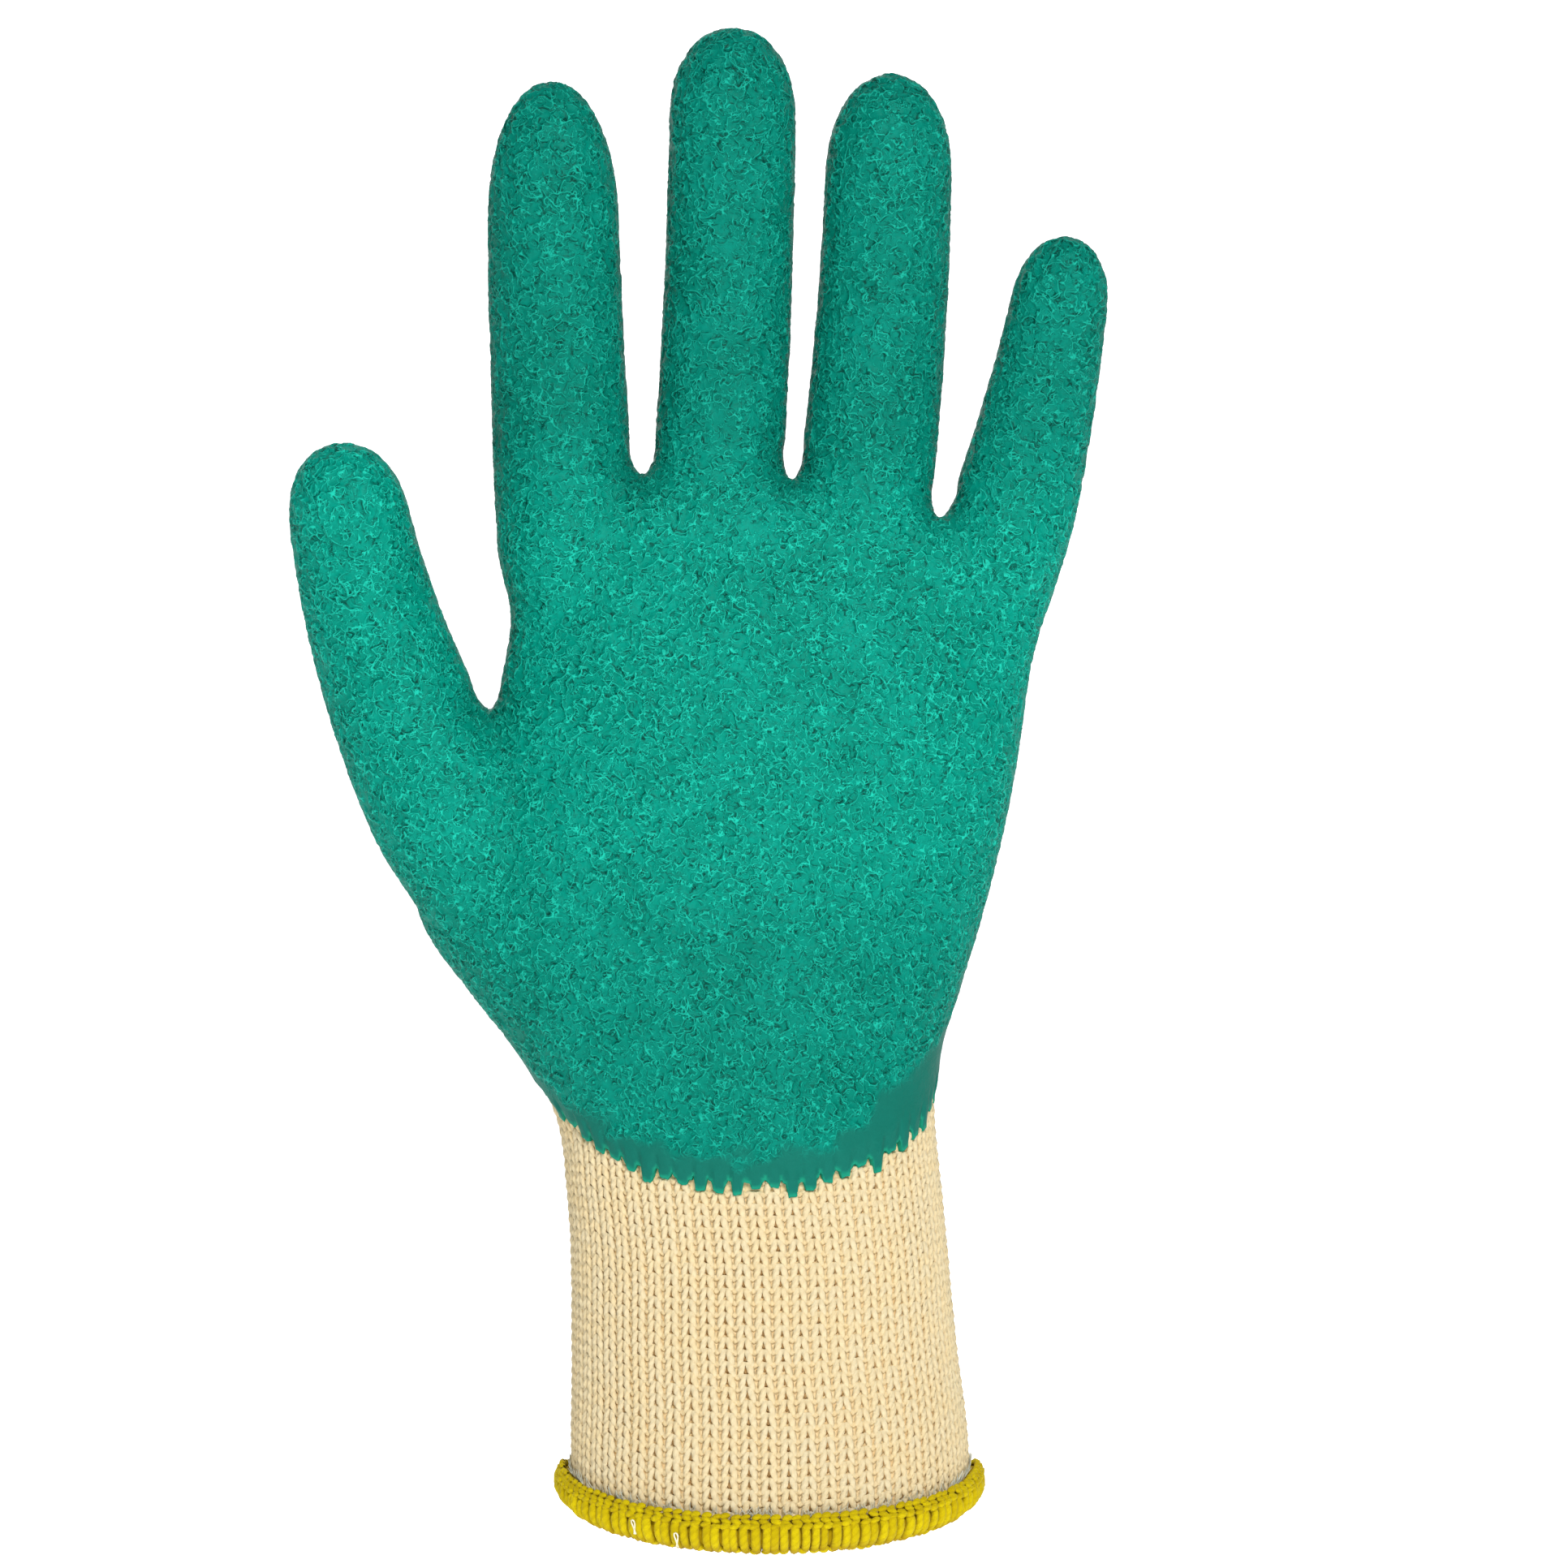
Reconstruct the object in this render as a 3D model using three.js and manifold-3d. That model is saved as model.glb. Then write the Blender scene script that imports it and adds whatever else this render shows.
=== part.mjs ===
// A left-hand latex coated grip glove, size 9, as it stands when a hand fills it: fingers up and
// palm towards -Y.
// A seamless knitted liner of cuff, palm, four finger tubes and a thumb tube carries a latex coating
// over its palm side, and a thread hem is overlocked round the cuff's edge.
// Millimetres, +Z up, with the origin at the centre of the cuff's opening.
import * as THREE from "three";
import { mergeVertices } from "three/addons/utils/BufferGeometryUtils.js";
import Module from "manifold-3d";

const wasm = await Module();
wasm.setup();

// Main sizes
const CUFF_LENGTH = 64; // cuff edge to the narrowest line of the wrist
const CUFF_WIDTH = 66;
const CUFF_DEPTH = 50;
const PALM_LENGTH = 107; // wrist line to the crotch beside the middle finger
const PALM_WIDTH = 92;
const PALM_DEPTH = 36;
const FINGER_LENGTH = 73.5; // middle finger, crotch to tip
const FINGER_WIDTH = 20; // middle finger at its root
const FINGER_DEPTH = 18.6;
const FINGER_CURL = 8; // how far a fingertip comes forward of its root
const THUMB_LENGTH = 45.6; // thumb crotch to tip
const THUMB_WIDTH = 23;
const THUMB_DEPTH = 22;
const THUMB_FORWARD = 3.5; // thumb root forward of the fingers' plane

// Knitted walls
const KNIT_WALL = 1.5;
const RIB_COUNT = 56; // knit columns round the cuff
const RIB_RELIEF = 0.45; // how deep the grooves between the columns are
const PIECE_GAP = 0.3; // between neighbouring pieces
const KNIT_JOIN_UP = 3.2; // finger tubes begin this far above their crotch

// Latex coating
const COAT_THICKNESS = 0.9;
const COAT_WRAP = 3.6; // how far the coating wraps behind the mid-plane of hand and fingers
const COAT_EDGE_FRONT = 52; // height of the dip line at the middle of the palm side
const COAT_EDGE_SIDE = 71; // height of the dip line at the sides of the wrist

// Overlocked hem
const HEM_PROUD = 2.7; // thread thickness outside the cuff
const HEM_INSIDE = 1.5; // thread thickness inside the cuff
const HEM_UNDER = 1.7; // thread thickness under the cuff's edge
const HEM_HEIGHT = 5.4; // how far the thread climbs above the cuff's edge
const HEM_ROUND = 0.8; // rounding of the hem's corners
const HEM_DIP = 6.4; // how far the edge hangs lower at the front than at the sides

const BODY_SIDES = 28;
const FINGER_SIDES = 12;
const CAP_RINGS = 4; // rings that round a fingertip
const REACH = 400; // longer than anything in the glove, for cutting tools

// Cuff sections: up is a share of CUFF_LENGTH, left and right of CUFF_WIDTH, front and back of CUFF_DEPTH,
// dip a share of HEM_DIP, and square is the exponent of the section's rounded outline.
const CUFF_SECTIONS = [
  { up: 0.012, left: 0.498, right: 0.505, front: 0.5, back: 0.5, dip: 1.0, square: 2.0 },
  { up: 0.11, left: 0.498, right: 0.505, front: 0.5, back: 0.5, dip: 1.0, square: 2.0 },
  { up: 0.42, left: 0.496, right: 0.472, front: 0.475, back: 0.465, dip: 0.55, square: 2.0 },
  { up: 0.8, left: 0.508, right: 0.437, front: 0.45, back: 0.43, dip: 0.15, square: 2.05 },
];

// Palm sections: up is a share of PALM_LENGTH above the wrist line, left and right of PALM_WIDTH,
// front and back of PALM_DEPTH, drop how much lower the right end lies than the left, and arch how much
// the middle is raised, both shares of PALM_LENGTH.
const PALM_SECTIONS = [
  { up: 0.0, left: 0.385, right: 0.3, front: 0.61, back: 0.56, drop: 0, arch: 0, square: 2.1 },
  { up: 0.1, left: 0.445, right: 0.303, front: 0.6, back: 0.54, drop: 0, arch: 0, square: 2.15 },
  { up: 0.2, left: 0.535, right: 0.338, front: 0.58, back: 0.52, drop: 0, arch: 0, square: 2.2 },
  { up: 0.32, left: 0.625, right: 0.38, front: 0.55, back: 0.5, drop: 0, arch: 0, square: 2.2 },
  { up: 0.48, left: 0.535, right: 0.424, front: 0.5, back: 0.465, drop: 0.01, arch: 0.005, square: 2.4 },
  { up: 0.62, left: 0.488, right: 0.45, front: 0.455, back: 0.435, drop: 0.03, arch: 0.015, square: 2.45 },
  { up: 0.72, left: 0.46, right: 0.465, front: 0.4, back: 0.39, drop: 0.05, arch: 0.03, square: 2.4 },
  { up: 0.81, left: 0.459, right: 0.488, front: 0.33, back: 0.325, drop: 0.08, arch: 0.05, square: 2.35 },
  { up: 0.88, left: 0.467, right: 0.512, front: 0.265, back: 0.26, drop: 0.104, arch: 0.068, square: 2.3 },
  { up: 0.912, left: 0.468, right: 0.512, front: 0.18, back: 0.175, drop: 0.115, arch: 0.078, square: 2.1 },
];

// Fingers: across is the root's place as a share of PALM_WIDTH, up its height as a share of PALM_LENGTH
// above the wrist line, rootLean and tipLean the lean to the right in degrees at crotch and tip, long, wide
// and deep shares of the finger's named sizes, taper the width left at the tip, and cap the length of the
// rounded tip as a share of the width.
const FINGERS = [
  {
    name: "index",
    across: -0.374, up: 1, rootLean: -3, tipLean: 0.1,
    long: 0.88, wide: 1.05, deep: 1.04, taper: 0.91, cap: 1.05,
  },
  {
    name: "middle",
    across: -0.092, up: 1, rootLean: 4, tipLean: 0,
    long: 1, wide: 0.985, deep: 1, taper: 0.95, cap: 0.66,
  },
  {
    name: "ring",
    across: 0.179, up: 1, rootLean: 6.5, tipLean: 0.2,
    long: 0.896, wide: 1.02, deep: 1, taper: 0.91, cap: 0.74,
  },
  {
    name: "little",
    across: 0.447, up: 0.951, rootLean: 15.5, tipLean: 7,
    long: 0.61, wide: 0.94, deep: 0.9, taper: 0.68, cap: 0.56,
  },
];
const THUMB = {
  name: "thumb",
  across: -0.659, up: 0.631, rootLean: -22, tipLean: -5,
  long: 0.985, wide: 0.98, deep: 1, taper: 0.72, cap: 0.5,
};

// How the tubes widen and sink into the palm below their crotch: along is a share of the finger's length,
// wide and deep shares of its size at the crotch.
const FINGER_ROOTS = [
  { along: -0.42, wide: 0.75, deep: 0.8 },
  { along: -0.2, wide: 1.0, deep: 1.18 },
];
const THUMB_ROOTS = [
  { along: -1.05, wide: 0.7, deep: 0.6 },
  { along: -0.8, wide: 1.05, deep: 0.95 },
  { along: -0.4, wide: 1.12, deep: 1.1 },
];

// The table rows of cuff and palm as sections in millimetres.
function cuffSection(row) {
  return {
    z: row.up * CUFF_LENGTH,
    left: row.left * CUFF_WIDTH,
    right: row.right * CUFF_WIDTH,
    front: row.front * CUFF_DEPTH,
    back: row.back * CUFF_DEPTH,
    dip: row.dip * HEM_DIP,
    drop: 0,
    arch: 0,
    square: row.square,
  };
}

function palmSection(row) {
  return {
    z: CUFF_LENGTH + row.up * PALM_LENGTH,
    left: row.left * PALM_WIDTH,
    right: row.right * PALM_WIDTH,
    front: row.front * PALM_DEPTH,
    back: row.back * PALM_DEPTH,
    dip: 0,
    drop: row.drop * PALM_LENGTH,
    arch: row.arch * PALM_LENGTH,
    square: row.square,
  };
}

const BODY_SECTIONS = [...CUFF_SECTIONS.map(cuffSection), ...PALM_SECTIONS.map(palmSection)];
const WRIST_ROW = CUFF_SECTIONS.length; // the first palm section lies on the wrist line

// One ring of the hand's body: a section outline moved out by grow and up by lift.
function bodyRing(section, grow = 0, lift = 0) {
  const middle = (section.right - section.left) / 2;
  const halfWidth = (section.right + section.left) / 2;
  const power = 2 / section.square;
  const ring = [];
  for (let k = 0; k < BODY_SIDES; k++) {
    const turn = (2 * Math.PI * k) / BODY_SIDES;
    const across = Math.sign(Math.cos(turn)) * Math.abs(Math.cos(turn)) ** power;
    const deep = Math.sign(Math.sin(turn)) * Math.abs(Math.sin(turn)) ** power;
    const halfDepth = deep < 0 ? section.front : section.back;
    const sag = deep < 0 ? section.dip : section.dip / 2;
    const slope = (across * section.drop) / 2;
    const rise = section.arch * (1 - across * across);
    ring.push(
      new THREE.Vector3(
        middle + across * (halfWidth + grow),
        deep * (halfDepth + grow),
        section.z + lift - sag * Math.abs(deep) - slope + rise,
      ),
    );
  }
  return ring;
}

// A ring with a groove between every two knit columns, two columns to each side of the body's outline.
function ribbedRing(section, grow, relief) {
  const crest = bodyRing(section, grow);
  const groove = bodyRing(section, grow - relief);
  const perSide = (2 * RIB_COUNT) / BODY_SIDES;
  const ring = [];
  for (let k = 0; k < BODY_SIDES; k++) {
    const next = (k + 1) % BODY_SIDES;
    for (let j = 0; j < perSide; j++) {
      const from = j % 2 ? groove : crest;
      ring.push(from[k].clone().lerp(from[next], j / perSide));
    }
  }
  return ring;
}

// The triangles that close a ring: across it in a ladder, or to a point.
function capTriangles(offset, count, apex, facesUp) {
  const triangles = [];
  const add = (a, b, c) => triangles.push(...(facesUp ? [a, b, c] : [a, c, b]));
  if (apex !== null) {
    for (let k = 0; k < count; k++) add(offset + k, offset + ((k + 1) % count), apex);
    return triangles;
  }
  for (let k = 0; k < count / 2; k++) {
    const [a, b] = [offset + k, offset + k + 1];
    const [c, d] = [offset + count - k - 1, offset + ((count - k) % count)];
    if (b !== c) add(a, b, c);
    if (d !== a) add(a, c, d);
  }
  return triangles;
}

// A closed solid through rings of equal count, from the lowest to the highest, with an optional end point.
function loft(rings, tip = null) {
  const count = rings[0].length;
  const points = rings.flat();
  const index = [...capTriangles(0, count, null, false)];
  for (let r = 0; r + 1 < rings.length; r++) {
    for (let k = 0; k < count; k++) {
      const next = (k + 1) % count;
      const [a, b] = [r * count + k, r * count + next];
      const [c, d] = [b + count, a + count];
      index.push(a, b, c, a, c, d);
    }
  }
  if (tip) points.push(tip);
  index.push(...capTriangles((rings.length - 1) * count, count, tip ? points.length - 1 : null, true));
  return solidOf(new THREE.BufferGeometry().setFromPoints(points).setIndex(index));
}

// A closed band through rings that follow one another round a profile, such as a hem.
function band(rings) {
  const count = rings[0].length;
  const index = [];
  for (let r = 0; r < rings.length; r++) {
    const above = (r + 1) % rings.length;
    for (let k = 0; k < count; k++) {
      const next = (k + 1) % count;
      const [a, b, c, d] = [r * count + k, r * count + next, above * count + next, above * count + k];
      index.push(a, b, c, a, c, d);
    }
  }
  return solidOf(new THREE.BufferGeometry().setFromPoints(rings.flat()).setIndex(index));
}

// A three.js geometry as a solid that can be cut and joined.
function solidOf(geometry) {
  const bare = new THREE.BufferGeometry().setAttribute("position", geometry.getAttribute("position"));
  bare.setIndex(geometry.getIndex());
  const merged = mergeVertices(bare, 1e-4);
  return new wasm.Manifold(
    new wasm.Mesh({
      numProp: 3,
      vertProperties: merged.attributes.position.array,
      triVerts: new Uint32Array(merged.index.array),
    }),
  );
}

function join(solids) {
  return solids.reduce((all, one) => all.add(one));
}

// The size of one finger in millimetres, from its table row.
function fingerSizes(row) {
  const isThumb = row === THUMB;
  return {
    ...row,
    x: row.across * PALM_WIDTH,
    z: CUFF_LENGTH + row.up * PALM_LENGTH,
    forward: isThumb ? THUMB_FORWARD : 0,
    length: row.long * (isThumb ? THUMB_LENGTH : FINGER_LENGTH),
    width: row.wide * (isThumb ? THUMB_WIDTH : FINGER_WIDTH),
    depth: row.deep * (isThumb ? THUMB_DEPTH : FINGER_DEPTH),
  };
}

// Place and directions on a finger's centre line, a circular arc that also curls forward above the root.
function axisFrame(finger, along) {
  const root = THREE.MathUtils.degToRad(finger.rootLean);
  const bend = THREE.MathUtils.degToRad(finger.tipLean - finger.rootLean) / finger.length;
  const lean = root + bend * along;
  const share = Math.max(along, 0) / finger.length;
  const pitch = Math.atan((2 * FINGER_CURL * share) / finger.length);
  const centre = new THREE.Vector3(
    finger.x + (Math.cos(root) - Math.cos(lean)) / bend,
    -finger.forward - FINGER_CURL * share * share,
    finger.z + (Math.sin(lean) - Math.sin(root)) / bend,
  );
  const forth = new THREE.Vector3(
    Math.sin(lean) * Math.cos(pitch),
    -Math.sin(pitch),
    Math.cos(lean) * Math.cos(pitch),
  );
  const side = new THREE.Vector3(Math.cos(lean), 0, -Math.sin(lean));
  return { centre, forth, side, rear: forth.clone().cross(side) };
}

// One ring of a finger tube, with half sizes across and deep.
function fingerRing(finger, along, halfWidth, halfDepth) {
  const { centre, side, rear } = axisFrame(finger, along);
  const ring = [];
  for (let k = 0; k < FINGER_SIDES; k++) {
    const turn = (2 * Math.PI * k) / FINGER_SIDES;
    ring.push(
      centre
        .clone()
        .addScaledVector(side, Math.cos(turn) * halfWidth)
        .addScaledVector(rear, Math.sin(turn) * halfDepth),
    );
  }
  return ring;
}

// The rings below a finger's rounded tip: the roots that sink into the palm, then even steps up the finger.
function fingerStations(finger) {
  const roots = finger.name === THUMB.name ? THUMB_ROOTS : FINGER_ROOTS;
  const sunk = roots.map((row) => ({ along: row.along * finger.length, wide: row.wide, deep: row.deep }));
  const capStart = finger.length - finger.cap * finger.width;
  const shaft = [0, 1 / 3, 2 / 3, 1].map((share) => {
    const along = share * capStart;
    const size = 1 + ((finger.taper - 1) * along) / finger.length;
    return { along, wide: size, deep: size };
  });
  return [...sunk, ...shaft];
}

// A whole finger, moved out by grow on every side, starting at a distance along its centre line.
function fingerSolid(row, grow, start = null) {
  const finger = fingerSizes(row);
  const all = fingerStations(finger);
  const top = all[all.length - 1];
  const capLength = finger.length - top.along;
  let kept = all;
  if (start !== null) {
    const atRoot = { ...all.find((s) => s.along >= 0), along: start };
    kept = [atRoot, ...all.filter((s) => s.along > start + PIECE_GAP)];
  }
  const halfWidth = (station) => (station.wide * finger.width) / 2 + grow;
  const halfDepth = (station) => (station.deep * finger.depth) / 2 + grow;
  const rings = kept.map((s) => fingerRing(finger, s.along, halfWidth(s), halfDepth(s)));
  for (let i = 1; i < CAP_RINGS; i++) {
    const rise = (Math.PI / 2) * (i / CAP_RINGS);
    const up = top.along + Math.sin(rise) * (capLength + grow);
    rings.push(fingerRing(finger, up, Math.cos(rise) * halfWidth(top), Math.cos(rise) * halfDepth(top)));
  }
  return loft(rings, axisFrame(finger, finger.length + grow).centre);
}

// The hand's body, cuff and palm in one, moved out by grow. An inner form runs on below the cuff's edge.
function bodySolid(grow) {
  const rings = [];
  const last = BODY_SECTIONS.length - 1;
  for (let i = 0; i <= last; i++) rings.push(bodyRing(BODY_SECTIONS[i], grow));
  rings[last].forEach((p) => (p.z += grow));
  if (grow < 0) rings.unshift(bodyRing(BODY_SECTIONS[0], grow, -HEM_HEIGHT));
  return loft(rings);
}

function handSolid(grow) {
  return join([bodySolid(grow), ...[...FINGERS, THUMB].map((row) => fingerSolid(row, grow))]);
}

// A block that holds everything above a height.
function above(height) {
  return solidOf(new THREE.BoxGeometry(REACH, REACH, REACH).translate(0, 0, height + REACH / 2));
}

// The palm side of a finger, as a slab that follows its centre line from the palm to beyond the tip. At the
// root its rear face lies in line with the palm's, however far forward the finger is set.
function fingerFront(row) {
  const finger = fingerSizes(row);
  const halfWidth = finger.width;
  const slab = [];
  const stops = [-0.5, 0, 1 / 3, 2 / 3, 1, 1.5].map((share) => share * finger.length);
  for (const along of stops) {
    const { centre, side, rear } = axisFrame(finger, along);
    const wrap = COAT_WRAP + finger.forward * THREE.MathUtils.clamp(1 - along / finger.length, 0, 1);
    const corner = (across, deep) => centre.clone().addScaledVector(side, across).addScaledVector(rear, deep);
    slab.push([
      corner(halfWidth, wrap),
      corner(-halfWidth, wrap),
      corner(-halfWidth, -finger.depth),
      corner(halfWidth, -finger.depth),
    ]);
  }
  return loft(slab);
}

// Everything on the palm side of the liquid level that the coating was dipped to.
function palmFront() {
  const frontDepth = CUFF_DEPTH / 2;
  const slope = (COAT_EDGE_SIDE - COAT_EDGE_FRONT) / frontDepth;
  const top = CUFF_LENGTH + PALM_LENGTH;
  const outline = new THREE.Shape();
  outline.moveTo(COAT_WRAP, COAT_EDGE_SIDE + slope * COAT_WRAP);
  outline.lineTo(COAT_WRAP, top);
  outline.lineTo(-2 * frontDepth, top);
  outline.lineTo(-2 * frontDepth, COAT_EDGE_SIDE - 2 * frontDepth * slope);
  const prism = new THREE.ExtrudeGeometry(outline, { depth: REACH, bevelEnabled: false });
  const yzx = new THREE.Matrix4().makeBasis(
    new THREE.Vector3(0, 1, 0),
    new THREE.Vector3(0, 0, 1),
    new THREE.Vector3(1, 0, 0),
  );
  const front = solidOf(prism.applyMatrix4(yzx).translate(-REACH / 2, 0, 0));
  return front.subtract(fingerSolid(THUMB, 2 * (PIECE_GAP + COAT_THICKNESS), 0));
}

// The ribbed cuff, from its edge to the wrist line: up its ribbed outside, over its end and down its plain
// inside.
function knitCuff() {
  const sections = BODY_SECTIONS.slice(0, WRIST_ROW + 1).map((section) => ({ ...section }));
  sections[WRIST_ROW].z -= PIECE_GAP / 2;
  const outside = sections.map((section) => ribbedRing(section, 0, RIB_RELIEF));
  const inside = sections.map((section) => ribbedRing(section, -KNIT_WALL, 0));
  return band([...outside, ...inside.reverse()]);
}

// The liner above the wrist line, whole.
function linerAboveWrist() {
  return handSolid(0).subtract(handSolid(-KNIT_WALL)).intersect(above(CUFF_LENGTH + PIECE_GAP / 2));
}

function knitPalm(liner) {
  const tubes = [...FINGERS, THUMB].map((row) => fingerSolid(row, PIECE_GAP, KNIT_JOIN_UP - PIECE_GAP));
  return liner.subtract(join(tubes));
}

function knitFinger(liner, row) {
  return liner.intersect(fingerSolid(row, PIECE_GAP, KNIT_JOIN_UP));
}

function latexCoating() {
  const skin = handSolid(PIECE_GAP + COAT_THICKNESS).subtract(handSolid(PIECE_GAP));
  return skin.intersect(join([palmFront(), ...[...FINGERS, THUMB].map(fingerFront)]));
}

// The hem is a thread bead with a slot that the cuff's edge sits in. Its profile runs round from the slot's
// outer lip: out is the distance outside the cuff, up the height above the cuff's edge.
function overlockedHem() {
  const outside = HEM_PROUD;
  const inside = -KNIT_WALL - HEM_INSIDE;
  const profile = [
    { out: PIECE_GAP, up: -PIECE_GAP },
    { out: PIECE_GAP, up: HEM_HEIGHT - HEM_ROUND / 2 },
    { out: PIECE_GAP + HEM_ROUND / 2, up: HEM_HEIGHT },
    { out: outside - HEM_ROUND, up: HEM_HEIGHT },
    { out: outside, up: HEM_HEIGHT - HEM_ROUND },
    { out: outside, up: HEM_ROUND - HEM_UNDER },
    { out: outside - HEM_ROUND, up: -HEM_UNDER },
    { out: inside + HEM_ROUND, up: -HEM_UNDER },
    { out: inside, up: HEM_ROUND - HEM_UNDER },
    { out: inside, up: HEM_HEIGHT - HEM_ROUND },
    { out: inside + HEM_ROUND, up: HEM_HEIGHT },
    { out: -KNIT_WALL - PIECE_GAP, up: HEM_HEIGHT },
    { out: -KNIT_WALL - PIECE_GAP, up: -PIECE_GAP },
  ];
  return band(profile.reverse().map((p) => bodyRing(BODY_SECTIONS[0], p.out, p.up)));
}

function material(color, roughness) {
  return new THREE.MeshStandardMaterial({ color, roughness, metalness: 0 });
}

const KNIT_CREAM = material(0xe9d6a7, 0.95);
const LATEX_GREEN = material(0x0f9d88, 0.6);
const THREAD_YELLOW = material(0xc9b309, 0.9);

function node(name, solid, surface) {
  const { vertProperties, triVerts } = solid.getMesh();
  const geometry = new THREE.BufferGeometry();
  geometry.setAttribute("position", new THREE.BufferAttribute(vertProperties, 3));
  geometry.setIndex(new THREE.BufferAttribute(triVerts, 1));
  geometry.computeVertexNormals();
  const mesh = new THREE.Mesh(geometry, surface);
  mesh.name = name;
  return mesh;
}

const glove = new THREE.Group();
const liner = linerAboveWrist();
glove.add(node("knit_cuff", knitCuff(), KNIT_CREAM));
glove.add(node("knit_palm", knitPalm(liner), KNIT_CREAM));
for (const row of [...FINGERS, THUMB]) {
  glove.add(node(`knit_${row.name}`, knitFinger(liner, row), KNIT_CREAM));
}
glove.add(node("latex_coating", latexCoating(), LATEX_GREEN));
glove.add(node("overlocked_hem", overlockedHem(), THREAD_YELLOW));

export default glove;
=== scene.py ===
"""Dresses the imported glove: a crinkled latex skin, knitted yarn and an overlocked thread hem.

All shapes are worked out in millimetres in the part's own frame and turned into metres when a mesh is made.
"""

import math

import bpy
import numpy as np
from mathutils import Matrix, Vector
from mathutils.bvhtree import BVHTree


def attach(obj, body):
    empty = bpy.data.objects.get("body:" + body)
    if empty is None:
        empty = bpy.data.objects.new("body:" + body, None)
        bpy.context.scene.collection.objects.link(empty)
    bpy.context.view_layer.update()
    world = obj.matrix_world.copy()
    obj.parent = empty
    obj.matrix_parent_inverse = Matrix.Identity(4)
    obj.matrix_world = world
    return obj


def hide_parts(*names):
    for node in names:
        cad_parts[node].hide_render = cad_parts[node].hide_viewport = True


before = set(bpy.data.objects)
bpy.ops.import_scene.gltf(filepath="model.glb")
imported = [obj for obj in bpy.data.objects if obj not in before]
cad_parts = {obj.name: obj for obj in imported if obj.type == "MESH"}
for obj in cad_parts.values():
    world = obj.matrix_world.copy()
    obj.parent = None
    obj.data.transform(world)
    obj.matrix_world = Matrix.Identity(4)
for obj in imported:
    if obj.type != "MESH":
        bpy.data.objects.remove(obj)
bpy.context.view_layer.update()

MM = 0.001
BODY = "root"

# Main sizes of the glove, as in the part
CUFF_LENGTH = 64.0
CUFF_WIDTH = 66.0
CUFF_DEPTH = 50.0
PALM_LENGTH = 107.0
PALM_WIDTH = 92.0
PALM_DEPTH = 36.0
FINGER_LENGTH = 73.5
FINGER_WIDTH = 20.0
FINGER_DEPTH = 18.6
FINGER_CURL = 8.0
THUMB_LENGTH = 45.6
THUMB_WIDTH = 23.0
THUMB_DEPTH = 22.0
THUMB_FORWARD = 3.5
KNIT_WALL = 1.5
WALL_DEPTH = 0.5  # how far below the yarn's crests the wall lies
VALLEY_DEPTH = 1.0  # and how far where the hand's form is hollow
COAT_WRAP = 3.6
COAT_EDGE_FRONT = 52.0
COAT_EDGE_SIDE = 71.0
HEM_DIP = 6.4
HEM_HEIGHT = 5.4

# Cuff sections: up, left, right, front, back, dip, square
CUFF_SECTIONS = [
    (0.012, 0.498, 0.505, 0.5, 0.5, 1.0, 2.0),
    (0.11, 0.498, 0.505, 0.5, 0.5, 1.0, 2.0),
    (0.42, 0.496, 0.472, 0.475, 0.465, 0.55, 2.0),
    (0.8, 0.508, 0.437, 0.45, 0.43, 0.15, 2.05),
]

# Palm sections: up, left, right, front, back, drop, arch, square
PALM_SECTIONS = [
    (0.0, 0.385, 0.3, 0.61, 0.56, 0, 0, 2.1),
    (0.1, 0.445, 0.303, 0.6, 0.54, 0, 0, 2.15),
    (0.2, 0.535, 0.338, 0.58, 0.52, 0, 0, 2.2),
    (0.32, 0.625, 0.38, 0.55, 0.5, 0, 0, 2.2),
    (0.48, 0.535, 0.424, 0.5, 0.465, 0.01, 0.005, 2.4),
    (0.62, 0.488, 0.45, 0.455, 0.435, 0.03, 0.015, 2.45),
    (0.72, 0.46, 0.465, 0.4, 0.39, 0.05, 0.03, 2.4),
    (0.81, 0.459, 0.488, 0.33, 0.325, 0.08, 0.05, 2.35),
    (0.88, 0.467, 0.512, 0.265, 0.26, 0.104, 0.068, 2.3),
    (0.912, 0.468, 0.512, 0.18, 0.175, 0.115, 0.078, 2.1),
]

# Fingers: name, across, up, root lean, tip lean, long, wide, deep, taper, cap
FINGER_ROWS = [
    ("index", -0.374, 1, -3, 0.1, 0.88, 1.05, 1.04, 0.91, 1.05),
    ("middle", -0.092, 1, 4, 0, 1, 0.985, 1, 0.95, 0.66),
    ("ring", 0.179, 1, 6.5, 0.2, 0.896, 1.02, 1, 0.91, 0.74),
    ("little", 0.447, 0.951, 15.5, 7, 0.61, 0.94, 0.9, 0.68, 0.56),
    ("thumb", -0.659, 0.631, -22, -5, 0.985, 0.98, 1, 0.72, 0.5),
]
FINGER_ROOTS = [(-0.42, 0.75, 0.8), (-0.2, 1.0, 1.18)]
THUMB_ROOTS = [(-1.05, 0.7, 0.6), (-0.8, 1.05, 0.95), (-0.4, 1.12, 1.1)]

# Fine form
FINE_VOXEL = 0.88
WALL_VOXEL = 2.1
FORM_PASSES = 20
WALL_PASSES = 10
SHRINK_BACK = 0.2  # what the smoothing takes off the fingers
CROTCHES = [(-47.5, 132.0), (-21.2, 171.5), (3.6, 171.3), (29.4, 165.0)]
CROTCH_REACH = 6.5
CROTCH_PASSES = 160

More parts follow.
